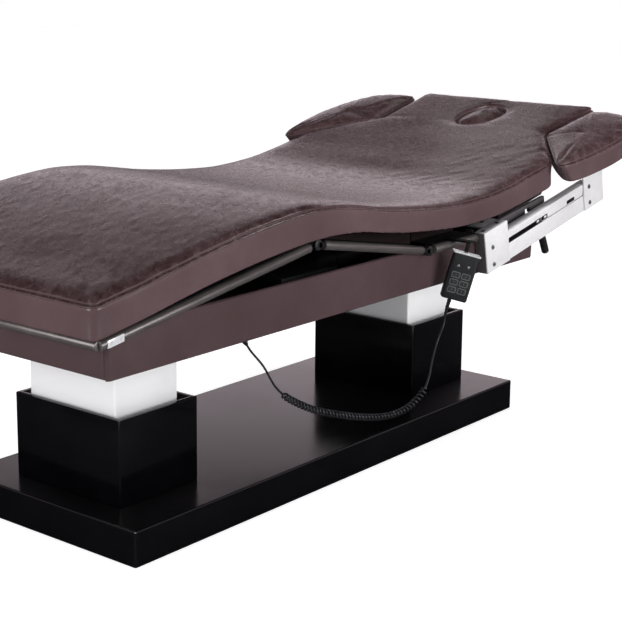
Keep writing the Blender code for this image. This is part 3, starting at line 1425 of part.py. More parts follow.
def main():
    global LEATHER
    clear_scene()
    LEATHER = material("dark_brown_leather", (0.085, 0.055, 0.060), 0.42)
    lacquer = material("black_lacquer", (0.006, 0.006, 0.008), 0.18)
    white = material("white_paint", (0.80, 0.79, 0.80), 0.35)
    steel = material("satin_grey_steel", (0.22, 0.19, 0.19), 0.35, 0.6)
    bright = material("polished_steel", (0.75, 0.75, 0.77), 0.22, 1.0)
    aluminium = material("aluminium", (0.60, 0.61, 0.62), 0.35, 0.9)
    plate = material("black_steel", (0.02, 0.02, 0.02), 0.5, 0.3)
    plywood = material("dark_stained_board", (0.030, 0.020, 0.020), 0.7)
    black = material("black_plastic", (0.012, 0.015, 0.016), 0.35)
    pale = material("button_plastic", (0.05, 0.055, 0.06), 0.4)

    make_base(lacquer, plate)
    make_columns(white, aluminium)
    make_skirt(plywood)
    undersides = make_mattress()
    make_face_plug()
    make_leg_frames(steel)
    make_seat_frame(steel)
    make_back_frame(steel)
    make_boards(undersides, plywood)
    make_spine(plate)
    make_actuators(black, bright)
    make_control_box(black)
    for side, hand in ((-1, "left"), (1, "right")):
        make_armrest(side, hand, bright, black)
    make_handset(black, pale, bright)
    make_cord(black)


main()
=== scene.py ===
"""Looks of the twin-column massage table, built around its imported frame."""

import math

import bmesh
import bpy
import numpy as np
from mathutils import Matrix, Vector, noise


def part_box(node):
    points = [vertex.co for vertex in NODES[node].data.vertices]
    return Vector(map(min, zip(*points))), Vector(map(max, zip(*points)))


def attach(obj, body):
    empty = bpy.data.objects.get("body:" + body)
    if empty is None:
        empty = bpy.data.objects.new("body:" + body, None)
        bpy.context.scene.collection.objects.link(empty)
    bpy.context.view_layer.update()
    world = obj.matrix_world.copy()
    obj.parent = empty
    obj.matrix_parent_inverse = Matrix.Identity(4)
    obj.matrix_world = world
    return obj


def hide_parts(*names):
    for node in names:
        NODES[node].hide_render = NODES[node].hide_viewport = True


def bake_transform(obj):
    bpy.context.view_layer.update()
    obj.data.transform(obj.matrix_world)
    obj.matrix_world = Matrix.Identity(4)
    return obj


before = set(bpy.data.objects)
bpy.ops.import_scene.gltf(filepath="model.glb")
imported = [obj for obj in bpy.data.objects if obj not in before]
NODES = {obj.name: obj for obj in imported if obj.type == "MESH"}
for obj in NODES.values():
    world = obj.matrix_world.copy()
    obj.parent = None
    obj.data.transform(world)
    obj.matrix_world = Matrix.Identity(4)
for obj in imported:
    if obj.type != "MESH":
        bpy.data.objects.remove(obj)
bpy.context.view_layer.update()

# Sizes of the table, in metres, as the frame has them
FOOT_X, KNEE_X, HIP_X, BACK_X, HEAD_X = -1.013, -0.367, 0.043, 0.283, 1.013
HINGE_Z, KNEE_Z = 0.540, 0.616
PAD_HALF_WIDTH, HEAD_HALF_WIDTH = 0.4105, 0.285
NECK_START, NECK_END, NECK_HALF_WIDTH = 0.568, 0.768, 0.268
PAD_THICKNESS, PAD_FOOT_Z, PAD_RISE = 0.072, 0.535, 0.094
SKIRT_HALF_WIDTH = 0.380
SKIRT_FOOT_X, SKIRT_HEAD_X = -0.949, 0.533
DECK_BOTTOM_Z, SKIRT_TOP_Z, SKIRT_HEAD_TOP_Z = 0.445, 0.544, 0.520
RAIL_HALF_SPAN, BACK_RAIL_HALF_SPAN, RAIL_RADIUS = 0.3935, 0.3505, 0.010
BACK_SLOPE = math.atan2(0.146, 0.730)
BACK_UP = Vector((-math.sin(BACK_SLOPE), 0.0, math.cos(BACK_SLOPE)))
BACK_LEVEL = Vector((math.cos(BACK_SLOPE), 0.0, math.sin(BACK_SLOPE)))
HOLE_X, HOLE_HALF_LENGTH, HOLE_HALF_WIDTH = 0.868, 0.090, 0.060
# Share of the length from the foot, and there the share of the underside's rise or of the thickness
UNDERSIDE_SHARES = (
    (0.0, 0.0), (0.06, 0.21), (0.115, 0.44), (0.17, 0.65), (0.235, 0.845), (0.30, 0.973),
    (0.345, 1.0), (0.385, 0.94), (0.44, 0.76), (0.51, 0.585), (0.575, 0.49), (0.62, 0.50),
    (0.67, 0.575), (0.72, 0.745), (0.79, 1.0), (1.0, 1.904),
)
THICKNESS_SHARES = (
    (0.0, 1.0), (0.17, 1.0), (0.30, 1.0), (0.345, 0.92), (0.40, 0.83), (0.50, 0.83),
    (0.60, 0.85), (0.72, 0.88), (0.79, 0.93), (1.0, 0.98),
)
TOUCH = 0.0003

# Meshes

def linked(name, data):
    obj = bpy.data.objects.new(name, data)
    bpy.context.collection.objects.link(obj)
    return obj


def new_object(name, points, faces, finish, smooth=True, sharp=None):
    """A mesh with its faces turned outward; sharp is the angle in degrees that makes an edge hard."""
    mesh = bpy.data.meshes.new(name)
    mesh.from_pydata([Vector(p) for p in points], [], faces)
    edit = bmesh.new()
    edit.from_mesh(mesh)
    bmesh.ops.recalc_face_normals(edit, faces=edit.faces)
    edit.to_mesh(mesh)
    edit.free()
    mesh.materials.append(finish)
    if smooth:
        mesh.shade_smooth()
        if sharp:
            mesh.set_sharp_from_angle(angle=math.radians(sharp))
    return linked(name, mesh)


def grid_faces(rings, around):
    """Faces between rings of equal point counts; around joins the last ring to the first."""
    total, count = len(rings), len(rings[0])
    faces = []
    for r in range(total if around else total - 1):
        here, there = r * count, (r + 1) % total * count
        for i in range(count):
            j = (i + 1) % count
            faces.append((here + i, here + j, there + j, there + i))
    return faces


def loft(name, rings, finish, smooth=True, sharp=None):
    """A form through rings of equal point counts, closed at both ends."""
    count = len(rings[0])
    last = (len(rings) - 1) * count
    faces = grid_faces(rings, False) + [tuple(range(count)), tuple(range(last, last + count))]
    return new_object(name, [p for ring in rings for p in ring], faces, finish, smooth, sharp)


def hoop(name, rings, finish, smooth=True, sharp=None):
    """A form through rings of equal point counts, whose last ring joins the first."""
    points = [p for ring in rings for p in ring]
    return new_object(name, points, grid_faces(rings, True), finish, smooth, sharp)


def joined(name, parts):
    """Several objects as one piece, with their finishes kept."""
    points, faces, slots, finishes, smooth = [], [], [], [], []
    for part in parts:
        mesh = part.data
        first = len(points)
        points += [part.matrix_world @ v.co for v in mesh.vertices]
        local = []
        for finish in mesh.materials:
            if finish not in finishes:
                finishes.append(finish)
            local.append(finishes.index(finish))
        for face in mesh.polygons:
            faces.append([first + v for v in face.vertices])
            slots.append(local[face.material_index])
            smooth.append(face.use_smooth)
        bpy.data.objects.remove(part)
        bpy.data.meshes.remove(mesh)
    mesh = bpy.data.meshes.new(name)
    mesh.from_pydata(points, [], faces)
    for finish in finishes:
        mesh.materials.append(finish)
    mesh.polygons.foreach_set("material_index", slots)
    mesh.polygons.foreach_set("use_smooth", smooth)
    mesh.update()
    mesh.set_sharp_from_angle(angle=math.radians(38))
    return linked(name, mesh)


def settle(obj):
    """Applies an object's modifiers to its mesh."""
    depsgraph = bpy.context.evaluated_depsgraph_get()
    mesh = bpy.data.meshes.new_from_object(obj.evaluated_get(depsgraph))
    old = obj.data
    obj.modifiers.clear()
    obj.data = mesh
    bpy.data.meshes.remove(old)


def softened(obj, width, segments=2, angle=30.0):
    """Rounds the edges that are sharper than the angle."""
    edge = obj.modifiers.new("edges", "BEVEL")
    edge.width = width
    edge.segments = segments
    edge.limit_method = "ANGLE"
    edge.angle_limit = math.radians(angle)
    settle(obj)
    obj.data.shade_smooth()
    obj.data.set_sharp_from_angle(angle=math.radians(50))
    return obj


def box(name, low, high, finish, edge, segments=2, place=None):
    """A box with rounded edges; place carries its corners from a frame of their own."""
    rings = [
        [(x, low[1], low[2]), (x, high[1], low[2]), (x, high[1], high[2]), (x, low[1], high[2])]
        for x in (low[0], high[0])
    ]
    if place is not None:
        rings = [[place(*p) for p in ring] for ring in rings]
    return softened(loft(name, rings, finish, smooth=False), edge, segments)


def ring_round(centre, way, radius, sides):
    face = Vector(way).to_track_quat("Z", "Y")
    turns = [math.tau * (i + 0.5) / sides for i in range(sides)]
    return [Vector(centre) + face @ Vector((radius * math.cos(a), radius * math.sin(a), 0.0)) for a in turns]


def turned(name, start, end, profile, finish, sides):
    """A turned form between two points: the profile gives (share along, radius)."""
    a, b = Vector(start), Vector(end)
    rings = [ring_round(a.lerp(b, share), b - a, radius, sides) for share, radius in profile]
    return loft(name, rings, finish, sharp=35)


def stands_for(piece, body, *nodes, slot):
    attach(piece, body)
    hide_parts(*nodes)


def padded_for(piece, body, node):
    stands_for(piece, body, node, slot="leather")

# Mattress profiles

def hermite(start, end, leave, arrive, t):
    """A cubic from start to end; leave and arrive are its slopes over the whole step."""
    return (
        start * (2 * t**3 - 3 * t**2 + 1) + leave * (t**3 - 2 * t**2 + t)
        + end * (3 * t**2 - 2 * t**3) + arrive * (t**3 - t**2)
    )


def smooth_table(table, share):
    """Value at a share, on a smooth line through the table's (share, value) pairs."""
    count = len(table)
    index = max(i for i in range(count - 1) if table[i][0] <= share or i == 0)

    def slope(i):
        before, after = table[max(i - 1, 0)], table[min(i + 1, count - 1)]
        return (after[1] - before[1]) / (after[0] - before[0])

    (x0, y0), (x1, y1) = table[index], table[index + 1]
    step = x1 - x0
    return hermite(y0, y1, slope(index) * step, slope(index + 1) * step, (share - x0) / step)


def along_share(x):
    return (min(max(x, FOOT_X), HEAD_X) - FOOT_X) / (HEAD_X - FOOT_X)


def underside_z(x):
    return PAD_FOOT_Z + PAD_RISE * smooth_table(UNDERSIDE_SHARES, along_share(x))


def thickness_at(x):
    return PAD_THICKNESS * smooth_table(THICKNESS_SHARES, along_share(x))


def smooth_step(t):
    t = min(max(t, 0.0), 1.0)
    return t * t * (3.0 - 2.0 * t)


BEND_SOFTNESS = 0.018


def half_width_at(x):
    """Half the mattress's width, with its two bends on each side a little rounded."""
    total = 0.0
    for k in range(-4, 5):
        place = min(x + BEND_SOFTNESS * k / 4, HEAD_X)
        if place < NECK_END:
            share = max((place - NECK_START) / (NECK_END - NECK_START), 0.0)
            total += PAD_HALF_WIDTH + (NECK_HALF_WIDTH - PAD_HALF_WIDTH) * share
        else:
            share = (place - NECK_END) / (HEAD_X - NECK_END)
            total += NECK_HALF_WIDTH + (HEAD_HALF_WIDTH - NECK_HALF_WIDTH) * share
    return total / 9


# Materials

class Nodes:
    """A node tree, with helpers for the nodes used most. A socket takes a number or an output."""

    def __init__(self, tree):
        self.tree = tree

    def node(self, kind, **values):
        made = self.tree.nodes.new(kind)
        for key, value in values.items():
            setattr(made, key, value)
        return made

    def feed(self, socket, value):
        if isinstance(value, (int, float)):
            socket.default_value = value
        else:
            self.tree.links.new(value, socket)

    def span(self, value, low, high, to_low, to_high, kind="LINEAR"):
        part = self.node("ShaderNodeMapRange", interpolation_type=kind)
        for socket, number in (
            ("Value", value), ("From Min", low), ("From Max", high), ("To Min", to_low), ("To Max", to_high),
        ):
            self.feed(part.inputs[socket], number)
        return part.outputs["Result"]

    def maths(self, what, a, b):
        part = self.node("ShaderNodeMath", operation=what)
        self.feed(part.inputs[0], a)
        self.feed(part.inputs[1], b)
        return part.outputs["Value"]

    def mixed(self, factor, a, b):
        """The number a where the factor is 0, and b where it is 1."""
        part = self.node("ShaderNodeMix")
        for socket, value in (("Factor", factor), ("A", a), ("B", b)):
            self.feed(part.inputs[socket], value)
        return part.outputs["Result"]

    def tinted(self, factor, a, b):
        """The colour a where the factor is 0, and b where it is 1."""
        part = self.node("ShaderNodeMix", data_type="RGBA")
        colours = [socket for socket in part.inputs if socket.type == "RGBA"]
        colours[0].default_value, colours[1].default_value = (*a, 1.0), (*b, 1.0)
        self.feed(part.inputs["Factor"], factor)
        return next(socket for socket in part.outputs if socket.type == "RGBA")


class Finish(Nodes):
    """A node material: a Principled shader with procedural colour, roughness and bump."""

    def __init__(self, name, colour, roughness, metallic=0.0, **sockets):
        self.material = bpy.data.materials.new(name)
        self.material.use_nodes = True
        super().__init__(self.material.node_tree)
        self.shader = self.tree.nodes["Principled BSDF"]
        sockets.update(Base_Color=(*colour, 1.0), Roughness=roughness, Metallic=metallic)
        for socket, value in sockets.items():
            self.shader.inputs[socket.replace("_", " ")].default_value = value
        self.material.diffuse_color = (*colour, 1.0)
        self.where = self.node("ShaderNodeTexCoord").outputs["Object"]
        self.relief = None

    def mapped(self, socket, value):
        """The texture's places, scaled or turned."""
        mapping = self.node("ShaderNodeMapping")
        mapping.inputs[socket].default_value = value
        self.feed(mapping.inputs["Vector"], self.where)
        return mapping.outputs["Vector"]

    def noise(self, scale, detail=3.0, rough=0.5, stretch=None, distortion=0.0):
        texture = self.node("ShaderNodeTexNoise")
        where = self.mapped("Scale", stretch) if stretch else self.where
        for socket, value in (
            ("Vector", where), ("Scale", scale), ("Detail", detail), ("Roughness", rough),
            ("Distortion", distortion),
        ):
            self.feed(texture.inputs[socket], value)
        return texture.outputs["Fac"]

    def cells(self, scale):
        texture = self.node("ShaderNodeTexVoronoi", feature="DISTANCE_TO_EDGE")
        self.feed(texture.inputs["Scale"], scale)
        self.feed(texture.inputs["Vector"], self.where)
        return texture.outputs["Distance"]

    def colour(self, factor, *stops):
        """Colours along a factor: (place, colour) pairs."""
        ramp = self.node("ShaderNodeValToRGB")
        band = ramp.color_ramp
        while len(band.elements) < len(stops):
            band.elements.new(0.5)
        for element, (place, value) in zip(band.elements, stops):
            element.position = place
            element.color = (*value, 1.0)
        self.feed(ramp.inputs["Fac"], factor)
        self.feed(self.shader.inputs["Base Color"], ramp.outputs["Color"])

    def roughness(self, factor, low, high):
        self.feed(self.shader.inputs["Roughness"], self.span(factor, 0.3, 0.7, low, high))

    def bump(self, height, depth):
        """Adds relief of so many metres to what is there."""
        part = self.node("ShaderNodeBump")
        part.inputs["Strength"].default_value = 1.0
        part.inputs["Distance"].default_value = depth
        self.feed(part.inputs["Height"], height)
        if self.relief is not None:
            self.feed(part.inputs["Normal"], self.relief)
        self.relief = part.outputs["Normal"]
        self.feed(self.shader.inputs["Normal"], self.relief)


LEATHER_COLOUR = (0.100, 0.050, 0.062)
LEATHER_TONES = (
    (0.38, (0.030, 0.012, 0.013)), (0.52, (0.097, 0.061, 0.066)), (0.66, (0.205, 0.135, 0.145)),
)
GRAIN_TURN, GRAIN_STRETCH = 0.72, (0.55, 1.0, 1.0)


def leather(name, share):
    """Glossy crinkled leather, smoother on upright faces and darker on faces that lie flat, a painted shade:
    share scales its colour.
    """
    f = Finish(name, [c * share for c in LEATHER_COLOUR], 0.30, IOR=1.40)
    f.where = f.mapped("Rotation", (0.0, 0.0, -GRAIN_TURN))
    facing = f.node("ShaderNodeAttribute", attribute_name="lying")
    lying = f.span(facing.outputs["Fac"], 0.45, 0.85, 0.12, 1.0, "SMOOTHSTEP")
    broad = f.noise(4.5, 4.0, 0.55)
    streaky = f.noise(56.0, 4.0, 0.60, GRAIN_STRETCH, 0.5)
    crinkled = f.maths("MULTIPLY", f.maths("SUBTRACT", streaky, 0.5), lying)
    tone = f.maths("ADD", f.maths("MULTIPLY", broad, 0.14), 0.45)
    tone = f.maths("ADD", tone, f.maths("MULTIPLY", crinkled, 0.22))
    # Painted shade: faces that lie flat get a darker tone.
    tone = f.maths("SUBTRACT", tone, f.maths("MULTIPLY", lying, 0.092))
    f.colour(tone, *((at, [c * share for c in value]) for at, value in LEATHER_TONES))
    f.roughness(f.maths("ADD", crinkled, 0.5), 0.16, 0.34)
    f.bump(f.span(f.cells(330.0), 0.0, 0.22, 0.0, 1.0, "SMOOTHSTEP"), 0.00005)
    f.bump(f.noise(900.0, 2.0), 0.00001)
    f.bump(f.maths("MULTIPLY", f.noise(150.0, 3.0, 0.6, GRAIN_STRETCH, 0.4), lying), 0.00030)
    f.bump(crinkled, 0.0007)
    return f.material


def lacquer():
    f = Finish("black_lacquer", (0.0012, 0.0012, 0.0018), 0.16, IOR=1.42)
    cloudy = f.noise(7.0, 5.0, 0.6)
    f.colour(cloudy, (0.3, (0.0008, 0.0008, 0.0013)), (0.7, (0.0018, 0.0018, 0.0025)))
    f.roughness(cloudy, 0.13, 0.22)
    f.bump(f.noise(420.0, 2.0), 0.000012)
    return f.material


def white_paint():
    f = Finish("white_paint", (0.83, 0.82, 0.83), 0.36, Specular_IOR_Level=0.45)
    f.colour(f.noise(5.0, 4.0), (0.3, (0.80, 0.79, 0.81)), (0.7, (0.85, 0.845, 0.855)))
    f.roughness(f.noise(60.0), 0.31, 0.42)
    f.bump(f.noise(700.0, 2.0), 0.00002)
    return f.material


def metal(name, dark, light, rough, metallic, brushed=None, **shine):
    """Bare or painted metal between two colours; brushed stretches its grain."""
    f = Finish(name, light, sum(rough) / 2, metallic, **shine)
    grain = f.noise(90.0, 4.0, 0.6, brushed)
    cloudy = f.noise(11.0, 4.0)
    tone = f.maths("ADD", f.maths("MULTIPLY", grain, 0.5), f.maths("MULTIPLY", cloudy, 0.5))
    f.colour(tone, (0.35, dark), (0.65, light))
    f.roughness(grain, *rough)
    f.bump(grain, 0.000015)
    return f.material


def plastic(name, dark, light, rough, grain=650.0):
    f = Finish(name, light, sum(rough) / 2)
    f.colour(f.noise(14.0, 4.0), (0.35, dark), (0.65, light))
    f.roughness(f.noise(120.0), *rough)
    f.bump(f.noise(grain, 2.0), 0.00003)
    return f.material


def dark_board_and_shade():
    # A dark board with wood grain, made near black: partly its own dark colour, partly a painted shade for
    # boards in shadow under the cushions.
    f = Finish("dark_board_and_shade", (0.010, 0.005, 0.005), 0.65, Specular_IOR_Level=0.12)
    rings = f.noise(9.0, 6.0, 0.65, (1.0, 9.0, 9.0), 0.6)
    f.colour(rings, (0.35, (0.006, 0.003, 0.003)), (0.65, (0.014, 0.008, 0.008)))
    f.roughness(rings, 0.55, 0.75)
    f.bump(rings, 0.0002)
    return f.material


LEATHER = leather("brown_leather", 1.0)
# The skirt's panels take the mattress's leather at 0.74 of its colour: a painted shade for the panels under
# the mattress's edge.
SHADED_SKIRT_LEATHER = leather("shaded_skirt_leather", 0.74)
LACQUER = lacquer()
WHITE = white_paint()
RAIL_STEEL = metal("satin_rail_steel", (0.10, 0.088, 0.088), (0.16, 0.142, 0.14), (0.30, 0.42), 0.55,
                   (0.05, 1.0, 1.0))
BRIGHT_STEEL = metal("polished_steel", (0.70, 0.70, 0.72), (0.86, 0.86, 0.88), (0.20, 0.30), 0.30,
                     (0.08, 1.0, 1.0))
# Black steel, made darker than its own black: partly a painted shade, for the pans, straps and plates that
# lie in shadow under the mattress.
DARK_STEEL = metal("black_steel", (0.0055, 0.0055, 0.0062), (0.0105, 0.0105, 0.0115), (0.40, 0.54), 0.0,
                   Specular_IOR_Level=0.2)
ALUMINIUM = metal("aluminium", (0.52, 0.53, 0.55), (0.66, 0.67, 0.69), (0.28, 0.40), 0.9, (1.0, 1.0, 0.04))
BLACK_PLASTIC = plastic("black_plastic", (0.0080, 0.0090, 0.0100), (0.0145, 0.0160, 0.0170), (0.30, 0.42))
BUTTON_PLASTIC = plastic("button_plastic", (0.018, 0.020, 0.021), (0.026, 0.029, 0.030), (0.36, 0.46))
PALE_INK = plastic("pale_ink", (0.20, 0.21, 0.21), (0.28, 0.29, 0.29), (0.45, 0.55))
CORD_RUBBER = plastic("cord_rubber", (0.0075, 0.0085, 0.0105), (0.0130, 0.0140, 0.0165), (0.30, 0.40), 900.0)
GREY_PAINT = metal("grey_paint", (0.075, 0.066, 0.072), (0.105, 0.094, 0.100), (0.42, 0.55), 0.0)
# A lighter copy of the grey paint for the bracket's shelf and flange: painted light on tops that lie in the
# mattress's shade.
LIT_FLANGE_PAINT = metal("lit_flange_paint", (0.33, 0.315, 0.335), (0.42, 0.405, 0.425), (0.34, 0.46), 0.0)
# A dimmer copy of the white paint for the brackets, links and carriers: a painted shade that keeps them below
# white under the key light.
SHADED_MOUNT_PAINT = metal("shaded_mount_paint", (0.64, 0.625, 0.645), (0.71, 0.70, 0.715), (0.30, 0.42), 0.0)
BOLT_STEEL = metal("bolt_steel", (0.13, 0.13, 0.135), (0.24, 0.24, 0.25), (0.24, 0.34), 0.4)
BOARD = dark_board_and_shade()


# Camera, at the photograph's viewing angle

CAMERA_PLACE = (-2.80258, -2.33855, 1.24154)
CAMERA_YAW, CAMERA_PITCH, CAMERA_ROLL = 0.68951, 0.20094, 0.007


def make_camera():
    yaw, pitch, roll = CAMERA_YAW, CAMERA_PITCH, CAMERA_ROLL
    ahead = Vector((math.cos(yaw) * math.cos(pitch), math.sin(yaw) * math.cos(pitch), -math.sin(pitch)))
    right = Vector((math.sin(yaw), -math.cos(yaw), 0.0))
    up = right.cross(ahead)
    across = right * math.cos(roll) + up * math.sin(roll)
    upright = up * math.cos(roll) - right * math.sin(roll)
    data = bpy.data.cameras.new("camera")
    data.sensor_width = 36.0
    data.lens = 88.34
    data.shift_x = 0.0295
    data.shift_y = -0.1
    data.clip_start = 0.05
    data.clip_end = 60.0
    camera = linked("camera", data)
    turn = Matrix((across, upright, -ahead)).transposed().to_4x4()
    camera.matrix_world = Matrix.Translation(CAMERA_PLACE) @ turn
    bpy.context.scene.camera = camera


make_camera()


# Cord: a gland under the deck, a straight lead, the curls and a straight lead to the handset
CORD_RADIUS, CURL_RADIUS, CURL_COUNT, CURL_STEPS = 0.0024, 0.0062, 46, 16
GLAND_TOP = Vector((-0.535, -0.340, DECK_BOTTOM_Z - TOUCH))
GLAND_COLLAR, GLAND_RADIUS = 0.008, 0.008
CORD_ROUTE = (
    (-0.482, -0.347, 0.371), (-0.443, -0.352, 0.314), (-0.418, -0.355, 0.291), (-0.380, -0.360, 0.267),
    (-0.326, -0.367, 0.240), (-0.255, -0.375, 0.215), (-0.194, -0.383, 0.197), (-0.131, -0.391, 0.183),
    (-0.080, -0.398, 0.179), (-0.040, -0.403, 0.184), (-0.007, -0.407, 0.197), (0.020, -0.410, 0.217),
    (0.036, -0.412, 0.246), (0.045, -0.413, 0.281), (0.060, -0.415, 0.323),
)
CURL_START_SHARE, CURL_END_SHARE = 0.18, 0.80
CORD_STRAIGHT = 0.005
HANDSET_PLACE = Matrix.Translation((0.117, -0.435, 0.473)) @ Matrix.Rotation(
    math.radians(-47.4), 4, "Z") @ Matrix.Rotation(math.radians(15.5), 4, "Y")
HALF_W, HALF_D, HALF_H = 0.031, 0.011, 0.056


def relief_line():
    """Centre, direction and radius along the strain relief, in the handset's own frame."""
    ways = [Vector((math.sin(a), 0.0, -math.cos(a))) for a in (0.0, 0.0, math.radians(5), math.radians(10))]
    place = Vector((-0.007, 0.0, -HALF_H + 0.004))
    line = []
    for way, size in zip(ways, (0.0050, 0.0050, 0.0042, 0.0034)):
        line.append((place.copy(), way, size))
        place += way * 0.015
    return line


def through(anchors, ways, steps):
    """Points on a smooth line through anchors, with a given direction at each, but for the last one."""
    made = []
    for i in range(len(anchors) - 1):
        a, b = anchors[i], anchors[i + 1]
        span = (b - a).length
        made += [hermite(a, b, ways[i] * span, ways[i + 1] * span, k / steps) for k in range(steps)]
    return made


def hanging_line(anchors, steps):
    """A line through the anchors, whose direction at each leans to the nearer neighbour."""
    spans = [(b - a).length for a, b in zip(anchors, anchors[1:])]
    rates = [(b - a) / span for a, b, span in zip(anchors, anchors[1:], spans)]
    ways = [rates[0]]
    for i in range(1, len(rates)):
        before, after = spans[i - 1], spans[i]
        ways.append((rates[i - 1] * after + rates[i] * before) / (before + after))
    ways.append(rates[-1])
    return through(anchors, ways, steps) + [anchors[-1]]


class Route:
    """A line of points read by the distance along it."""

    def __init__(self, points):
        self.points = points
        self.marks = [0.0]
        for a, b in zip(points, points[1:]):
            self.marks.append(self.marks[-1] + (b - a).length)
        self.length = self.marks[-1]

    def at(self, distance):
        k = int(np.searchsorted(self.marks, distance)) - 1
        k = min(max(k, 0), len(self.points) - 2)
        share = (distance - self.marks[k]) / (self.marks[k + 1] - self.marks[k])
        return self.points[k].lerp(self.points[k + 1], share)

    def ahead(self, distance):
        low, high = max(distance - CORD_RADIUS, 0.0), min(distance + CORD_RADIUS, self.length)
        return (self.at(high) - self.at(low)).normalized()


def cord_centreline():
    """Points along the cord, the tip of its gland and the direction in which it leaves the gland."""
    exit_way = Vector((0.012, 0.0, -0.016)).normalized()
    tip = GLAND_TOP - Vector((0.0, 0.0, GLAND_COLLAR)) + exit_way * (GLAND_COLLAR + GLAND_RADIUS)
    place, way, _ = relief_line()[-1]
    handset_exit = HANDSET_PLACE @ (place + way * TOUCH)
    before = HANDSET_PLACE @ (place + way * 0.012)
    leaving = [tip + exit_way * TOUCH, tip + exit_way * 0.012]
    route = Route(hanging_line([*leaving, *(Vector(p) for p in CORD_ROUTE), before, handset_exit], 16))
    start, end = route.length * CURL_START_SHARE, route.length * CURL_END_SHARE
    low, high = start + CORD_STRAIGHT * 2, end - CORD_STRAIGHT * 2
    lead = [route.at(start * i / 28) for i in range(29)]
    count = CURL_COUNT * CURL_STEPS
    curls = []
    for i in range(count + 1):
        at = low + (high - low) * i / count
        ahead = route.ahead(at)
        across = (Vector((0.0, 1.0, 0.0)) - ahead * ahead.y).normalized()
        angle = math.tau * i / CURL_STEPS
        size = CURL_RADIUS * min(1.0, smooth_step(i / CURL_STEPS), smooth_step((count - i) / CURL_STEPS))
        around = across * math.cos(angle) + ahead.cross(across) * math.sin(angle)
        curls.append(route.at(at) + around * size)
    tail = [route.at(end + (route.length - end) * i / 34) for i in range(35)]
    return lead + curls + tail, tip, exit_way


def make_cord():
    points, tip, exit_way = cord_centreline()
    curve = bpy.data.curves.new("cord", "CURVE")
    curve.dimensions = "3D"
    curve.bevel_depth = CORD_RADIUS
    curve.bevel_resolution = 3
    curve.use_fill_caps = True
    line = curve.splines.new("POLY")
    line.points.add(len(points) - 1)
    for point, place in zip(line.points, points):
        point.co = (*place, 1.0)
    curve.materials.append(CORD_RUBBER)
    cord = linked("cord", curve)
    stands_for(cord, "deck", "cord_lead", "cord_curls", "cord_handset_lead", slot="cord_rubber")

    collar = GLAND_TOP - Vector((0.0, 0.0, GLAND_COLLAR))
    down = Vector((0.0, 0.0, -1.0))
    rings = [
        ring_round(GLAND_TOP + down * sunk, down, radius, 24)
        for sunk, radius in ((0.0, 0.0055), (0.0, 0.0078), (0.0006, 0.0080), (0.0026, 0.0080),
                             (0.0030, 0.0074), (0.0034, 0.0080), (0.0060, 0.0080))
    ]
    reach = (tip - collar).length
    steps = 7
    for k in range(steps + 1):
        share = k / steps
        radius = 0.0076 + (0.0040 - 0.0076) * share
        way = down.lerp(exit_way, smooth_step(share * 1.6)).normalized()
        at = collar + exit_way * reach * share
        rings.append(ring_round(at, way, radius, 24))
        if k < steps:
            rings.append(ring_round(at + exit_way * reach * 0.45 / steps, way, radius * 0.88, 24))
    gland = loft("cord_strain_relief", rings, BLACK_PLASTIC, sharp=40)
    stands_for(gland, "deck", "cord_gland", slot="black_plastic")
    length = sum((b - a).length for a, b in zip(points, points[1:]))
    tuple(points[0])


make_cord()


# Soft pieces

def swollen(obj, held, cap, stiffness=18.0):
    """Cloth under pressure between its held seams, with no point moving further than the cap."""
    before = np.empty(len(obj.data.vertices) * 3)
    obj.data.vertices.foreach_get("co", before)
    moved = np.empty_like(before)
    group = obj.vertex_groups.new(name="held")
    group.add(held, 1.0, "REPLACE")
    cloth = obj.modifiers.new("cloth", "CLOTH")
    cloth.settings.quality = 4
    cloth.settings.mass = 0.4
    cloth.settings.tension_stiffness = stiffness
    cloth.settings.compression_stiffness = stiffness
    cloth.settings.shear_stiffness = stiffness / 3
    cloth.settings.bending_stiffness = 2.0
    cloth.settings.use_pressure = True
    cloth.settings.uniform_pressure_force = 4.0
    cloth.settings.vertex_group_mass = "held"
    cloth.settings.effector_weights.gravity = 0.0
    cloth.collision_settings.use_collision = False
    cloth.collision_settings.use_self_collision = False
    scene = bpy.context.scene
    for step in range(1, 21):
        scene.frame_set(step)
        obj.evaluated_get(bpy.context.evaluated_depsgraph_get()).data.vertices.foreach_get("co", moved)
    obj.modifiers.remove(cloth)
    obj.vertex_groups.remove(group)
    scene.frame_set(1)
    shift = (moved - before).reshape(-1, 3)
    far = np.linalg.norm(shift, axis=1, keepdims=True)
    shift *= cap * np.tanh(far / cap) / np.maximum(far, 1e-9)
    obj.data.vertices.foreach_set("co", before + shift.ravel())
    obj.data.update()


def subdivided(obj):
    finer = obj.modifiers.new("subdivision", "SUBSURF")
    finer.levels = finer.render_levels = 1
    finer.use_limit_surface = False
    settle(obj)


def wrinkled(obj, relief):
    """Moves each point of the mesh along its normal by what relief says at that place, in metres."""
    mesh = obj.data
    places = [v.co.copy() for v in mesh.vertices]
    normals = [v.normal.copy() for v in mesh.vertices]
    for vertex, place, normal in zip(mesh.vertices, places, normals):
        vertex.co = place + normal * relief(place, normal)
    mesh.update()


def mark_lying(obj, normals=None):
    """Stores how far each point faces up at rest, so that the grain and the painted shade of the tops stay on
    a section that tilts.
    """
    normals = normals or [v.normal for v in obj.data.vertices]
    upright = [abs(normal.z) for normal in normals]
    obj.data.attributes.new("lying", "FLOAT", "POINT").data.foreach_set("value", upright)


def streaks(place, along, across, turn=0.0):
    """Noise drawn out along one direction in plan: wave counts per metre along and across it."""
    c, s = math.cos(turn), math.sin(turn)
    a = (place.x * c + place.y * s) * along
    b = (-place.x * s + place.y * c) * across
    return noise.noise(Vector((a, b, place.z * 6.0)))


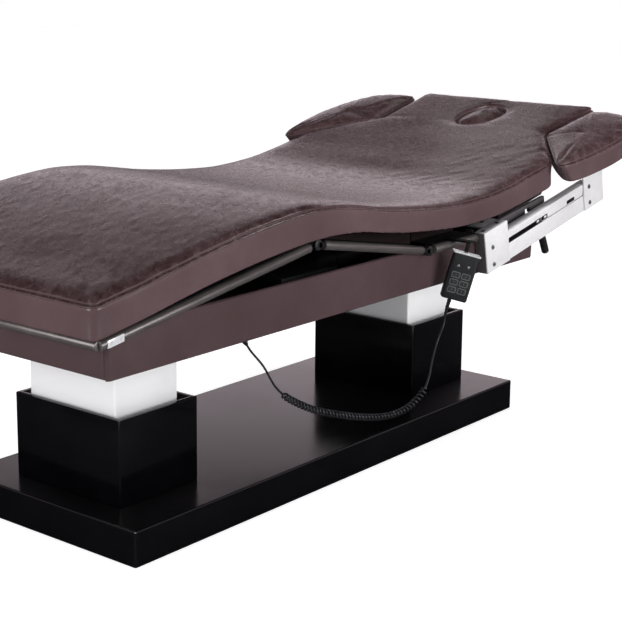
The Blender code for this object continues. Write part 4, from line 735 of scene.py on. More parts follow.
# Boxing and welt of a cushion, from the underside up: (inset, height, whether the height is from the
# welt's middle; None for a height that is a share of the thickness)
WALL_LAYERS = (
    (0.0100, 0.0000, False), (0.0040, 0.0004, False), (0.0014, 0.0020, False), (0.0003, 0.0050, False),
    (0.0012, 0.0120, False), (0.0022, 0.50, None), (0.0012, -0.0130, True), (0.0002, -0.0062, True),
    (0.0004, -0.0044, True), (0.0008, -0.0031, True), (0.0012, -0.0022, True), (-0.0008, -0.0010, True),
    (-0.0008, 0.0006, True), (0.0012, 0.0019, True), (0.0074, 0.0030, True), (0.0030, 0.0045, True),
    (0.0020, 0.0058, True),
)
# Rows of the wall that the seams and the board hold still
HELD_ROWS = {0, 1, 2, 3, *range(9, 15)}
ROLL_INSET, ROLL_HEIGHT, WELT_DROP = 0.0046, 0.0072, 0.0083


def wall_height(layer, thick, welt_z):
    height, from_welt = layer[1:]
    if from_welt is None:
        return thick * height
    return welt_z + height if from_welt else height


def edge_rise(distance):
    """Share of the full height at a distance in from the edge."""
    return 1.0 - math.exp(-((max(distance, 0.0) / 0.016) ** 0.62))


MATTRESS_SPLITS = (-0.162, 0.163)
CORNER_RADIUS = 0.018
CORNER_ANGLES = (0.0, 22.0, 38.0, 45.0, 52.0, 68.0)
HOLE_MARGINS = ((0.016, -0.0004), (0.0095, -0.0012), (0.0045, -0.0032), (0.0012, -0.0070), (0.0002, -0.0120))
STATION_STEP, HOLE_CLEARANCE = 0.0145, 0.030
# Columns of the top panel: distances in from its side, and shares of the flat middle between them
SIDE_COLUMNS = (0.0, 0.0032, 0.0075, 0.0135, 0.022, 0.034, 0.048, 0.064)
MIDDLE_COLUMNS = [k / 44 for k in range(1, 44)]
CROWN, SWELL = 0.0080, 0.0042


def mattress_stations():
    """Places along the mattress of the rows of its top panel, closer together near its ends."""
    ends = [(CORNER_RADIUS - ROLL_INSET) * (1.0 - math.cos(math.radians(a))) for a in CORNER_ANGLES]
    ends += [CORNER_RADIUS - ROLL_INSET, 0.020, 0.030, 0.043, 0.058]
    first, last = FOOT_X + ROLL_INSET, HEAD_X - ROLL_INSET
    stops = [first + ends[-1], *MATTRESS_SPLITS, last - ends[-1]]
    stations = [first + d for d in ends[:-1]]
    for a, b in zip(stops, stops[1:]):
        count = round((b - a) / STATION_STEP)
        stations += [a + (b - a) * k / count for k in range(count)]
    return stations + [last - d for d in reversed(ends)]


def top_half_width(x):
    radius = CORNER_RADIUS - ROLL_INSET
    from_end = min(x - FOOT_X - ROLL_INSET, HEAD_X - ROLL_INSET - x)
    half = half_width_at(x) - ROLL_INSET
    if from_end < radius:
        half += math.sqrt(max(radius**2 - (radius - from_end) ** 2, 0.0)) - radius
    return half


def top_z(x, y):
    """Height of the top panel, crowned and rolled down along its edges; the cloth adds the rest."""
    welt_z = thickness_at(x) - WELT_DROP
    dx = min(x - FOOT_X - ROLL_INSET, HEAD_X - ROLL_INSET - x)
    dy = half_width_at(x) - ROLL_INSET - abs(y)
    share = max(1.0 - math.hypot(1.0 - edge_rise(dx), 1.0 - edge_rise(dy)), 0.0)
    height = CROWN - SWELL
    return underside_z(x) + welt_z + ROLL_HEIGHT + height * share


def make_mattress_mesh():
    """The whole mattress with its welt, boxing and face hole, and the points that are held still."""
    stations = mattress_stations()
    columns = len(SIDE_COLUMNS) * 2 + len(MIDDLE_COLUMNS)
    points, faces, parts, held = [], [], [], []

    def part_of(i):
        x = (stations[i] + stations[i + 1]) / 2
        return sum(1 for split in MATTRESS_SPLITS if x > split)

    def add_face(corners, part):
        faces.append(corners)
        parts.append(part)

    rows_y = []
    for x in stations:
        half = top_half_width(x)
        inner = half - SIDE_COLUMNS[-1]
        side = [half - d for d in SIDE_COLUMNS]
        rows_y.append([-y for y in side] + [-inner + 2 * inner * m for m in MIDDLE_COLUMNS] + side[::-1])
    count = len(stations)
    for x, row in zip(stations, rows_y):
        points += [Vector((x, y, top_z(x, y))) for y in row]

    def top(i, j):
        return i * columns + j

    hole_i = [i for i, x in enumerate(stations) if abs(x - HOLE_X) <= HOLE_HALF_LENGTH + HOLE_CLEARANCE]
    hole_j = [j for j, y in enumerate(rows_y[hole_i[0]]) if abs(y) <= HOLE_HALF_WIDTH + HOLE_CLEARANCE]
    i0, i1, j0, j1 = hole_i[0], hole_i[-1], hole_j[0], hole_j[-1]
    for i in range(count - 1):
        for j in range(columns - 1):
            if not (i0 <= i < i1 and j0 <= j < j1):
                add_face((top(i, j), top(i + 1, j), top(i + 1, j + 1), top(i, j + 1)), part_of(i))

    loop = [(i, 0) for i in range(count)] + [(count - 1, j) for j in range(1, columns)]
    loop += [(i, columns - 1) for i in range(count - 2, -1, -1)] + [(0, j) for j in range(columns - 2, 0, -1)]
    size = len(loop)
    plan = [points[top(i, j)].xy.to_3d() for i, j in loop]
    outward = []
    for k in range(size):
        ahead = plan[(k + 1) % size] - plan[k - 1]
        outward.append(Vector((ahead.y, -ahead.x, 0.0)).normalized())
    seam_angle = CORNER_ANGLES.index(45.0)
    corner_stations = {seam_angle, count - 1 - seam_angle}
    corner_seams = {k for k, (i, j) in enumerate(loop) if i in corner_stations and j in (0, columns - 1)}
    first = len(points)
    for row, layer in reversed(list(enumerate(WALL_LAYERS))):
        for k in range(size):
            thick = thickness_at(plan[k].x)
            inset = layer[0] + (0.0018 if k in corner_seams and 2 < row < 9 else 0.0)
            place = plan[k] + outward[k] * (ROLL_INSET - inset)
            place.z = underside_z(plan[k].x) + wall_height(layer, thick, thick - WELT_DROP)
            if row in HELD_ROWS:
                held.append(len(points))
            points.append(place)

    def ring_part(k):
        i, after = loop[k][0], loop[(k + 1) % size][0]
        return part_of(min(i, after)) if i != after else (0 if i == 0 else 2)

    above = [top(i, j) for i, j in loop]
    for depth in range(len(WALL_LAYERS)):
        below = [first + depth * size + k for k in range(size)]
        for k in range(size):
            n = (k + 1) % size
            add_face((above[k], below[k], below[n], above[n]), ring_part(k))
        above = below

    def bottom(i, j):
        return above[loop.index((i, j))]

    left = [bottom(i, 0) for i in range(count)]
    right = [bottom(i, columns - 1) for i in range(count)]
    rim = [(i, j0) for i in range(i0, i1 + 1)] + [(i1, j) for j in range(j0 + 1, j1 + 1)]
    rim += [(i, j1) for i in range(i1 - 1, i0 - 1, -1)] + [(i0, j) for j in range(j1 - 1, j0, -1)]
    under_rim = {}
    for i, j in rim:
        under_rim[(i, j)] = len(points)
        held.append(len(points))
        x, y = stations[i], rows_y[i][j]
        points.append(Vector((x, y, underside_z(x))))
    for i in range(1, count - 2):
        part = part_of(i)
        if i0 <= i < i1:
            add_face((left[i], under_rim[(i, j0)], under_rim[(i + 1, j0)], left[i + 1]), part)
            add_face((right[i], right[i + 1], under_rim[(i + 1, j1)], under_rim[(i, j1)]), part)
        elif i == i0 - 1:
            across = [under_rim[(i0, j)] for j in range(j0, j1 + 1)]
            add_face((left[i], left[i0], *across, right[i0], right[i]), part)
        elif i == i1:
            across = [under_rim[(i1, j)] for j in range(j0, j1 + 1)]
            add_face((left[i1], *across, right[i1], right[i1 + 1], left[i1 + 1]), part)
        else:
            add_face((left[i], left[i + 1], right[i + 1], right[i]), part)
    foot_row = [bottom(0, j) for j in range(columns)]
    add_face((left[1], *foot_row, right[1]), 0)
    head_row = [bottom(count - 1, j) for j in range(columns)]
    add_face((left[count - 2], *head_row, right[count - 2]), 2)

    thick = thickness_at(HOLE_X)

    def oval(i, j, margin):
        """The hole's outline, widened by the margin, in the direction of a point of the rim."""
        dx, dy = stations[i] - HOLE_X, rows_y[i][j]
        angle = math.atan2(dy / HOLE_HALF_WIDTH, dx / HOLE_HALF_LENGTH)
        x = (HOLE_HALF_LENGTH + margin) * math.cos(angle)
        return Vector((HOLE_X, (HOLE_HALF_WIDTH + margin) * math.sin(angle), 0.0)) + BACK_LEVEL * x

    def on_top(place):
        return Vector((place.x, place.y, top_z(place.x, place.y)))

    def on_wall(place, share):
        return Vector((place.x, place.y, underside_z(place.x) + thick * share))

    def add_rings(above, rings):
        for ring in rings:
            below = list(range(len(points), len(points) + len(rim)))
            points.extend(ring)
            for k in range(len(rim)):
                n = (k + 1) % len(rim)
                add_face((above[k], above[n], below[n], below[k]), 2)
            above = below
        return above

    rings = [
        [on_top(points[top(i, j)].lerp(oval(i, j, HOLE_MARGINS[0][0]), share)) for i, j in rim]
        for share in (0.35, 0.68)
    ]
    rings += [[on_top(oval(i, j, margin)) + BACK_UP * sink for i, j in rim] for margin, sink in HOLE_MARGINS]
    first_held = len(points) + 2 * len(rim)
    last_top = add_rings([top(i, j) for i, j in rim], rings)
    rings = [[on_wall(oval(i, j, 0.0002), share) for i, j in rim] for share in (0.45, 0.2, 0.04)]
    rings.append([on_wall(oval(i, j, 0.004), 0.0) for i, j in rim])
    last = add_rings(last_top, rings)
    held.extend(range(first_held, len(points)))
    for k in range(len(rim)):
        n = (k + 1) % len(rim)
        add_face((last[k], last[n], under_rim[rim[n]], under_rim[rim[k]]), 2)
    obj = new_object("mattress", points, faces, LEATHER)
    for _ in range(2):
        obj.data.materials.append(LEATHER)
    obj.data.polygons.foreach_set("material_index", parts)
    return obj, held


def mattress_relief(place, normal):
    """Unevenness of stretched leather: broad swells, drawn-out creases and crow's feet."""
    move = 0.0010 * noise.noise(place * 7.0)
    if normal.z > 0.6:
        calf = smooth_step((place.x + 1.0) / 0.1) * smooth_step((-0.30 - place.x) / 0.25)
        near_back = smooth_step((place.x - 0.12) / 0.2) * smooth_step((0.78 - place.x) / 0.16)
        near_back *= smooth_step((0.05 - place.y) / 0.3)
        move += 0.00040 * streaks(place, 22.0, 75.0, 0.35) * (0.35 + calf)
        move += 0.00110 * streaks(place, 11.0, 48.0, -0.45) * near_back
        move += 0.00070 * streaks(place, 16.0, 90.0, -0.75) * near_back
    elif abs(normal.z) < 0.5:
        move += 0.0007 * noise.noise(Vector((place.x * 16.0, place.y * 16.0, place.z * 9.0)))
    return move


def split_mattress(whole, names):
    """Cuts the mattress between its sections, and keeps its shading whole across the cuts."""
    mesh = whole.data
    made = []
    for part, name in enumerate(names):
        picked = [f for f in mesh.polygons if f.material_index == part]
        used = sorted({v for f in picked for v in f.vertices})
        place = {v: k for k, v in enumerate(used)}
        faces = [[place[v] for v in f.vertices] for f in picked]
        normals = [mesh.vertices[v].normal for v in used]
        piece = bpy.data.meshes.new(name)
        piece.from_pydata([mesh.vertices[v].co for v in used], [], faces)
        piece.materials.append(LEATHER)
        piece.update()
        piece.shade_smooth()
        piece.normals_split_custom_set_from_vertices(normals)
        made.append(linked(name, piece))
        mark_lying(made[-1], normals)
    bpy.data.objects.remove(whole)
    return made


def make_mattress():
    whole, held = make_mattress_mesh()
    swollen(whole, held, SWELL)
    subdivided(whole)
    wrinkled(whole, mattress_relief)
    foot, seat, back = split_mattress(whole, ("mattress_calf", "mattress_seat", "mattress_back"))
    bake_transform(foot)
    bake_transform(seat)
    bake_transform(back)
    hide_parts("calf_pad", "knee_fold")
    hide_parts("thigh_pad", "seat_pad")
    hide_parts("back_pad", "back_fold")


make_mattress()


# Back section's own frame: u up the slope from its hinge, w square to it

def tilted(u, y, w):
    c, s = math.cos(BACK_SLOPE), math.sin(BACK_SLOPE)
    return Vector((BACK_X + u * c - w * s, y, HINGE_Z + u * s + w * c))


PLUG_SIDES, PLUG_HELD_ROWS = 72, 11
# Section of the plug from its underside up to its middle: (height from its top, inset)
PLUG_PROFILE = (
    (-0.0450, 0.030), (-0.0460, 0.0060), (-0.0452, 0.0020), (-0.0430, 0.0010), (-0.0340, 0.0010),
    (-0.0180, 0.0010), (-0.0150, 0.0024), (-0.0138, 0.0008), (-0.0124, 0.0005), (-0.0112, 0.0012),
    (-0.0118, 0.0054), (-0.0110, 0.0066), (-0.0082, 0.0092), (-0.0044, 0.0135), (-0.0012, 0.0190),
    (0.0014, 0.0255), (0.0034, 0.0325), (0.0047, 0.0410), (0.0052, 0.0500),
)


def make_face_plug():
    """A domed oval cushion with a welt, sunk a little in the face hole."""
    middle = Vector((HOLE_X, 0.0, underside_z(HOLE_X) + thickness_at(HOLE_X) / 2))
    top = thickness_at(HOLE_X) / 2 * math.cos(BACK_SLOPE) + 0.001
    turns = [math.tau * i / PLUG_SIDES for i in range(PLUG_SIDES)]
    rings = []
    for height, inset in PLUG_PROFILE:
        length, width = HOLE_HALF_LENGTH - inset, HOLE_HALF_WIDTH - inset
        rings.append([
            middle + BACK_LEVEL * (length * math.cos(a)) + Vector((0.0, width * math.sin(a), 0.0))
            + BACK_UP * (top + height) for a in turns
        ])
    plug = loft("face_plug_cushion", rings, LEATHER)
    swollen(plug, list(range(PLUG_HELD_ROWS * PLUG_SIDES)), 0.0018, stiffness=30.0)
    subdivided(plug)
    wrinkled(plug, lambda p, n: 0.0003 * noise.noise(p * 40.0) * max(n.z, 0.0))
    mark_lying(plug)
    padded_for(plug, "face_plug", "face_plug")


make_face_plug()


# Armrest cushions

ARMREST_OUTLINE = (
    (-0.023, -0.003), (-0.210, 0.134), (-0.238, 0.153), (-0.238, 0.167), (-0.215, 0.178), (-0.170, 0.190),
    (-0.110, 0.200), (-0.030, 0.206), (0.050, 0.201), (0.110, 0.186), (0.160, 0.155), (0.190, 0.110),
    (0.204, 0.055), (0.198, 0.012),
)
ARMREST_THICKNESS, ARMREST_UNDERCUT, ARMREST_SIDES = 0.055, 0.034, 132
LINK_LENGTH = 0.473
ARMREST_REACH = 0.510
CORNER_STEPS = 6


def armrest_low_w():
    """How far the cushion's underside lies above the line of the back's hinge slope."""
    x = BACK_X + LINK_LENGTH * math.cos(BACK_SLOPE)
    top = underside_z(x) + thickness_at(x)
    line = HINGE_Z + (x - BACK_X) * math.tan(BACK_SLOPE)
    return (top - ARMREST_THICKNESS - line) * math.cos(BACK_SLOPE)


def bend(before, here, after, radius):
    """Points round a corner, from the radius before it to the radius after it."""
    start = here + (before - here).normalized() * radius
    end = here + (after - here).normalized() * radius
    steps = [k / CORNER_STEPS for k in range(CORNER_STEPS + 1)]
    return [start.lerp(here, t).lerp(here.lerp(end, t), t) for t in steps]


def armrest_plan():
    """The outline as evenly spaced points, with its two inner corners rounded."""
    corners = [Vector(p) for p in ARMREST_OUTLINE]
    line = bend(corners[-1], corners[0], corners[1], 0.014)
    line += bend(corners[0], corners[1].lerp(corners[2], 0.55), corners[3], 0.016)
    outer = [corners[3].lerp(corners[4], 0.35)] + corners[4:13]
    ways = [(b - a).normalized() for a, b in zip([outer[0], *outer], [*outer[1:], outer[-1]])]
    line += through(outer, ways, 6)
    line += bend(corners[-2], corners[-1], corners[0], 0.014)
    edge = Route([*line, line[0]])
    return [edge.at(edge.length * i / ARMREST_SIDES) for i in range(ARMREST_SIDES)]


def armrest_mesh(side, hand):
    sides = ARMREST_SIDES
    plan = armrest_plan()
    foot_reach = min(p.x for p in plan)
    low_w = armrest_low_w()
    thick = ARMREST_THICKNESS * math.cos(BACK_SLOPE)
    centre = sum(plan, Vector((0.0, 0.0))) / sides
    outward = []
    for i in range(sides):
        ahead = plan[(i + 1) % sides] - plan[i - 1]
        outward.append(Vector((ahead.y, -ahead.x)).normalized())
    if (plan[0] + outward[0] * 0.001 - centre).length < (plan[0] - centre).length:
        outward = [-n for n in outward]

    def place(p, w):
        lowness = 1.0 - min(max(w / thick, 0.0), 1.0)
        tuck = ARMREST_UNDERCUT * lowness * (min(p.x, 0.0) / foot_reach) ** 3
        u = (ARMREST_REACH + p.x + tuck) / math.cos(BACK_SLOPE)
        return tilted(u, side * (HEAD_HALF_WIDTH + p.y), low_w + w)

    rings, held = [], []
    welt = thick - 0.0040
    for row, layer in enumerate(WALL_LAYERS):
        height = wall_height(layer, thick, welt)
        if row in HELD_ROWS:
            held += range(row * sides, (row + 1) * sides)
        rings.append([place(p - n * layer[0], height) for p, n in zip(plan, outward)])
    edge = [p - n * ROLL_INSET for p, n in zip(plan, outward)]
    crown = 0.0085
    for share in (0.0, 0.04, 0.09, 0.16, 0.25, 0.36, 0.48, 0.61, 0.74, 0.86):
        ring = []
        for p in edge:
            q = p.lerp(centre, share)
            rise = 1.0 - math.exp(-(((q - p).length / 0.024) ** 0.8))
            ring.append(place(q, welt + ROLL_HEIGHT * 0.9 + crown * rise))
        rings.append(ring)
    return loft(f"armrest_cushion_{hand}", rings, LEATHER), held


def armrest_relief(place, normal):
    move = 0.0008 * noise.noise(place * 14.0)
    if normal.z > 0.5:
        move += 0.00030 * streaks(place, 18.0, 70.0, 0.5)
    return move


def make_armrest_cushions():
    for side, hand in ((-1, "left"), (1, "right")):
        cushion, held = armrest_mesh(side, hand)
        swollen(cushion, held, 0.0035)
        subdivided(cushion)
        wrinkled(cushion, armrest_relief)
        mark_lying(cushion)
        padded_for(cushion, f"armrest_{hand}", f"armrest_pad_{hand}")


make_armrest_cushions()


# Skirt: four upholstered panels round the deck

SKIRT_THICKNESS, SKIRT_GAP = 0.012, 0.0003
PANEL_END_STOPS = (0.0, 0.0006, 0.0022, 0.0050, 0.0100)


def panel_section(height):
    """Cross-section of a panel from its inner top edge round to its outer face: (out, up) pairs."""
    thick = SKIRT_THICKNESS
    return (
        (0.0, 0.0030), (0.0, height - 0.0030), (0.0010, height - 0.0008), (0.0032, height),
        (thick - 0.0045, height), (thick - 0.0032, height - 0.0004), (thick - 0.0026, height - 0.0013),
        (thick - 0.0022, height - 0.0016), (thick - 0.0008, height - 0.0020),
        (thick - 0.0001, height - 0.0034), (thick + 0.0004, height - 0.0060),
        (thick + 0.0008, height - 0.0120), (thick + 0.0012, height * 0.72), (thick + 0.0014, height * 0.5),
        (thick + 0.0010, height * 0.28), (thick + 0.0005, 0.0110), (thick, 0.0050),
        (thick - 0.0010, 0.0018), (thick - 0.0035, 0.0002), (0.0035, 0.0), (0.0010, 0.0008),
    )


def make_panel(where, start, end, outward, high):
    """A panel along a line in plan, whose ends turn in a little at the corner seams."""
    start, end = Vector((*start, DECK_BOTTOM_Z)), Vector((*end, DECK_BOTTOM_Z))
    outward = Vector(outward)
    height = high - DECK_BOTTOM_Z
    length = (end - start).length
    way = (end - start) / length
    count = max(6, round((length - 0.02) / 0.018))
    stops = [*PANEL_END_STOPS]
    stops += [0.01 + (length - 0.02) * k / count for k in range(1, count)]
    stops += [length - d for d in reversed(PANEL_END_STOPS)]
    rings = []
    for d in stops:
        close = min(d, length - d)
        pinch = 0.0030 * (1.0 - smooth_step(close / 0.0060)) ** 2
        ring = []
        for out, up in panel_section(height):
            face = out > SKIRT_THICKNESS * 0.5
            place = start + way * d + outward * (out - (pinch if face else 0.0))
            place.z += up
            if face and 0.004 < up < height - 0.004:
                pull = 0.0010 * noise.noise(Vector((place.x * 9.0, place.y * 9.0, place.z * 14.0)))
                pull += 0.0007 * math.exp(-close / 0.035) * math.sin(up * 260.0 + close * 30.0)
                place += outward * (pull - 0.0007)
            ring.append(place)
        rings.append(ring)
    panel = loft(f"skirt_panel_{where}", rings, SHADED_SKIRT_LEATHER, sharp=70)
    padded_for(panel, "deck", f"skirt_{where}")


def make_skirt():
    foot, head, inner = SKIRT_FOOT_X, SKIRT_HEAD_X, SKIRT_HALF_WIDTH - SKIRT_THICKNESS
    make_panel("left", (foot, -inner), (head, -inner), (0, -1, 0), SKIRT_TOP_Z)
    make_panel("right", (head, inner), (foot, inner), (0, 1, 0), SKIRT_TOP_Z)
    side = inner - SKIRT_GAP
    foot += SKIRT_THICKNESS
    head -= SKIRT_THICKNESS
    make_panel("foot", (foot, side), (foot, -side), (-1, 0, 0), SKIRT_TOP_Z)
    make_panel("head", (head, -side), (head, side), (1, 0, 0), SKIRT_HEAD_TOP_Z)


make_skirt()


# Casings and column covers

def paint(node, finish):
    """Gives a CAD solid that stays its own finish."""
    mesh = NODES[node].data
    if len(mesh.materials) == 0:
        mesh.materials.append(finish)
    for i in range(len(mesh.materials)):
        mesh.materials[i] = finish


def rectangle_ring(half_x, half_y, corner, steps=5):
    """(place, outward) round a rectangle with rounded corners, in plan."""
    line = []
    for turn, (sx, sy) in enumerate(((1, 1), (-1, 1), (-1, -1), (1, -1))):
        for k in range(steps + 1):
            a = math.pi / 2 * (turn + k / steps)
            out = Vector((math.cos(a), math.sin(a)))
            line.append((Vector((sx * (half_x - corner), sy * (half_y - corner))) + out * corner, out))
    return line


def wall_section(low, high, wall, edge):
    """Cross-section of an upright wall whose four edges are rounded: (inset, z) pairs."""
    bend = edge * 0.3
    return (
        (edge, low), (bend, low + bend), (0.0, low + edge),
        (0.0, high - edge), (bend, high - bend), (edge, high),
        (wall - edge, high), (wall - bend, high - bend), (wall, high - edge),
        (wall, low + edge), (wall - bend, low + bend), (wall - edge, low),
    )


def tube_walls(name, node, corner, wall, edge, finish):
    """Four upright walls on the outline of a CAD solid's box, open above and below."""
    low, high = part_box(node)
    x = (low[0] + high[0]) / 2
    rings = []
    for place, out in rectangle_ring((high[0] - low[0]) / 2, high[1], corner):
        ring = []
        for inset, z in wall_section(low[2], high[2], wall, edge):
            at = place - out * min(inset, corner)
            past = max(inset - corner, 0.0)
            in_x, in_y = (math.copysign(max(abs(v) - past, 0.0), v) for v in at)
            ring.append((x + in_x, in_y, z))
        rings.append(ring)
    return hoop(name, rings, finish, sharp=35)


def make_casings():
    for end in ("foot", "head"):
        node = f"casing_{end}"
        casing = tube_walls(f"casing_cover_{end}", node, 0.0022, 0.012, 0.0014, LACQUER)
        stands_for(casing, "base", node, slot="lacquer")
        node = f"column_cover_{end}"
        column = tube_walls(f"column_sleeve_{end}", node, 0.0040, 0.003, 0.0008, WHITE)
        stands_for(column, "deck", node, slot="white_paint")


make_casings()


# Frames of tube and sheet

PAN_LOW, PAN_HIGH, PAN_GAP = 0.007, 0.0105, 0.004
# Across a pan: (share of its half width, rise), with two pressed ribs
PAN_RIBS = (
    (-1.0, 0.0), (-0.56, 0.0), (-0.545, -0.004), (-0.455, -0.004), (-0.44, 0.0),
    (0.44, 0.0), (0.455, -0.004), (0.545, -0.004), (0.56, 0.0), (1.0, 0.0),
)
RAIL_END_GAP, TONGUE_HEIGHT = 0.024, 0.012
EYE_WIDTH, EYE_GAP, PIN_RADIUS = 0.008, 0.0006, 0.004
EYE_RADIUS, BACK_EYE_RADIUS = 0.012, 0.010
ACTUATOR_Z, ACTUATOR_RADIUS, ACTUATOR_Y = 0.4803, 0.020, 0.100
CRANK_WIDTH, CRANK_THICKNESS = 0.024, 0.006
THIGH_SLOPE = -(KNEE_Z - HINGE_Z) / (HIP_X - KNEE_X)
CALF_SLOPE = (KNEE_Z - 0.5235) / (KNEE_X - FOOT_X - 0.026)
BACK_RATE = math.tan(BACK_SLOPE)
BACK_PAN_START, BACK_PAN_END = 0.082, 0.330
CHEEK_START, CHEEK_END, CHEEK_INNER_Y, CHEEK_OUTER_Y = 0.090, 0.328, 0.3570, 0.3665
CHEEK_NOTCH = SKIRT_HEAD_X - 0.006 - BACK_X
CHEEK_OUTLINE = (
    (CHEEK_START, 0.0), (CHEEK_START, -0.030), (CHEEK_NOTCH - 0.011, -0.030), (CHEEK_NOTCH - 0.011, -0.016),
    (CHEEK_NOTCH + 0.011, -0.016), (CHEEK_NOTCH + 0.011, -0.030), (CHEEK_END, -0.0315), (CHEEK_END, -0.0101),
)


def thigh_z(x):
    return HINGE_Z + (x - HIP_X) * THIGH_SLOPE


def calf_z(x):
    return KNEE_Z + (x - KNEE_X) * CALF_SLOPE


def seat_z(_):
    return HINGE_Z


def back_z(x):
    return HINGE_Z + (x - BACK_X) * BACK_RATE


def round_bar(name, start, end, radius, finish, lip, ease, drop):
    """A round bar whose end edges are rounded over by the lip, through one point at ease and drop."""
    share = lip / (Vector(end) - Vector(start)).length
    profile = [(0.0, radius - lip), (share * ease, radius - drop), (share, radius)]
    profile += [(1 - along, size) for along, size in reversed(profile)]
    return turned(name, start, end, profile, finish, 28)


def rail(name, start, end, radius=RAIL_RADIUS, finish=RAIL_STEEL):
    return round_bar(name, start, end, radius, finish, 0.0012, 0.3, 0.0004)


def prism_y(name, outline, low_y, high_y, finish, edge=0.0006):
    """A plate with an outline of (x, z) pairs, across from one y to another."""
    rings = [[(x, y, z) for x, z in outline] for y in (low_y, high_y)]
    return softened(loft(name, rings, finish, smooth=False), edge)


def pan_section(half_span):
    """Cross-section of a folded sheet between the rails: (across, up) pairs."""
    line = [((half_span - PAN_GAP) * share, rise) for share, rise in PAN_RIBS]
    return [(y, PAN_HIGH + rise) for y, rise in line] + [(y, PAN_LOW + rise) for y, rise in reversed(line)]


def pan(start, end, z_at):
    rings = [[(x, y, z_at(x) + w) for y, w in pan_section(RAIL_HALF_SPAN)] for x in (start, end)]
    return loft("pan", rings, DARK_STEEL, smooth=False)


def side_rail(side, start, end, z_at):
    y = side * RAIL_HALF_SPAN
    return rail("rail", (start, y, z_at(start)), (end, y, z_at(end)))


def lanes(side, half_span, outer):
    """From where to where the outer or the inner eye of a hinge lies across the table."""
    a = side * (half_span + EYE_GAP / 2) if outer else side * (half_span - EYE_GAP / 2)
    b = a + side * EYE_WIDTH * (1 if outer else -1)
    return min(a, b), max(a, b)


def knuckles(tag, x, z, to_x, to_z, half_span, radius, outer):
    """On both sides of the table, a hinge's eye with a strap to its rail; an outer one has the pin."""
    lift = TONGUE_HEIGHT / 2
    reach = math.hypot(to_x - x, to_z - z)
    far_x, far_z = to_x + (to_x - x) / reach * 0.010, to_z + (to_z - z) / reach * 0.010
    outline = [(x, z - lift), (far_x, far_z - lift), (far_x, far_z + lift), (x, z + lift)]
    made = []
    for side in (-1, 1):
        low_y, high_y = lanes(side, half_span, outer)
        ends = (x, low_y, z), (x, high_y, z)
        made.append(round_bar(f"{tag}_eye", *ends, radius, BLACK_PLASTIC, 0.0010, 0.4, 0.0003))
        made.append(prism_y(f"{tag}_strap", outline, low_y, high_y, DARK_STEEL))
        if outer:
            inner = lanes(side, half_span, False)
            low_pin, high_pin = min(inner[0], low_y) + TOUCH, max(inner[1], high_y) - TOUCH
            made.append(rail(f"{tag}_pin", (x, low_pin, z), (x, high_pin, z), PIN_RADIUS, BRIGHT_STEEL))
    return made


def crank(hinge_x, y, root_x, rail_z):
    """A lever under a section, from its pan down to the actuator's rod."""
    half = CRANK_WIDTH / 2
    sunk = (PAN_LOW + PAN_HIGH) / 2
    way = 1 if root_x < hinge_x else -1
    inner, outer = root_x - half * way, root_x + half * way
    near, far = hinge_x - half * way, hinge_x + half * way
    outline = [
        (near, ACTUATOR_Z - half), (far, ACTUATOR_Z - half), (far, ACTUATOR_Z + half),
        (outer, rail_z(outer) + sunk), (inner, rail_z(inner) + sunk), (near, ACTUATOR_Z + half),
    ]
    return prism_y("crank", outline, y, y + CRANK_THICKNESS, DARK_STEEL)


def make_thigh_frame():
    start, end = KNEE_X + RAIL_END_GAP, HIP_X - RAIL_END_GAP
    parts = [pan(KNEE_X + 0.045, HIP_X - 0.045, thigh_z)]
    parts += [side_rail(side, start, end, thigh_z) for side in (-1, 1)]
    parts += knuckles("knee", KNEE_X, KNEE_Z, start, thigh_z(start), RAIL_HALF_SPAN, EYE_RADIUS, True)
    parts += knuckles("hip", HIP_X, HINGE_Z, end, thigh_z(end), RAIL_HALF_SPAN, EYE_RADIUS, True)
    parts.append(crank(HIP_X, ACTUATOR_Y, HIP_X - 0.045 - CRANK_WIDTH, thigh_z))
    stands_for(joined("thigh_rails", parts), "thigh", "thigh_frame", slot="grey_steel")


def make_calf_frame():
    """Calf rails with the bar at their foot, and a bright plate with two screws on each."""
    start, end = FOOT_X + 0.026, KNEE_X - RAIL_END_GAP
    near, far, lift = start + 0.013, start + 0.054, 0.0075
    outline = [(x, calf_z(x) - lift) for x in (near, far)] + [(x, calf_z(x) + lift) for x in (far, near)]
    screw = ((0.0, 0.0004), (0.0, 0.0012), (0.45, 0.0013), (0.0, 0.0024), (0.35, 0.0030), (1.0, 0.0032))
    parts = [pan(KNEE_X - 0.440, KNEE_X - 0.050, calf_z)]
    for side in (-1, 1):
        parts.append(side_rail(side, start, end, calf_z))
        outer = side * (RAIL_HALF_SPAN + RAIL_RADIUS + 0.0015)
        ends = sorted((outer, side * (RAIL_HALF_SPAN + RAIL_RADIUS / 2)))
        parts.append(prism_y("foot_plate", outline, *ends, BRIGHT_STEEL, 0.0012))
        for x in (start + 0.021, start + 0.046):
            head, root = (x, outer + side * 0.0009, calf_z(x)), (x, outer - side * 0.0010, calf_z(x))
            parts.append(turned("screw", head, root, screw, BRIGHT_STEEL, 16))
    foot_z = calf_z(start)
    parts.append(rail("foot_bar", (start, -RAIL_HALF_SPAN, foot_z), (start, RAIL_HALF_SPAN, foot_z)))
    parts += knuckles("knee", KNEE_X, KNEE_Z, end, calf_z(end), RAIL_HALF_SPAN, EYE_RADIUS, False)
    stands_for(joined("calf_rails", parts), "calf", "calf_frame", slot="grey_steel")


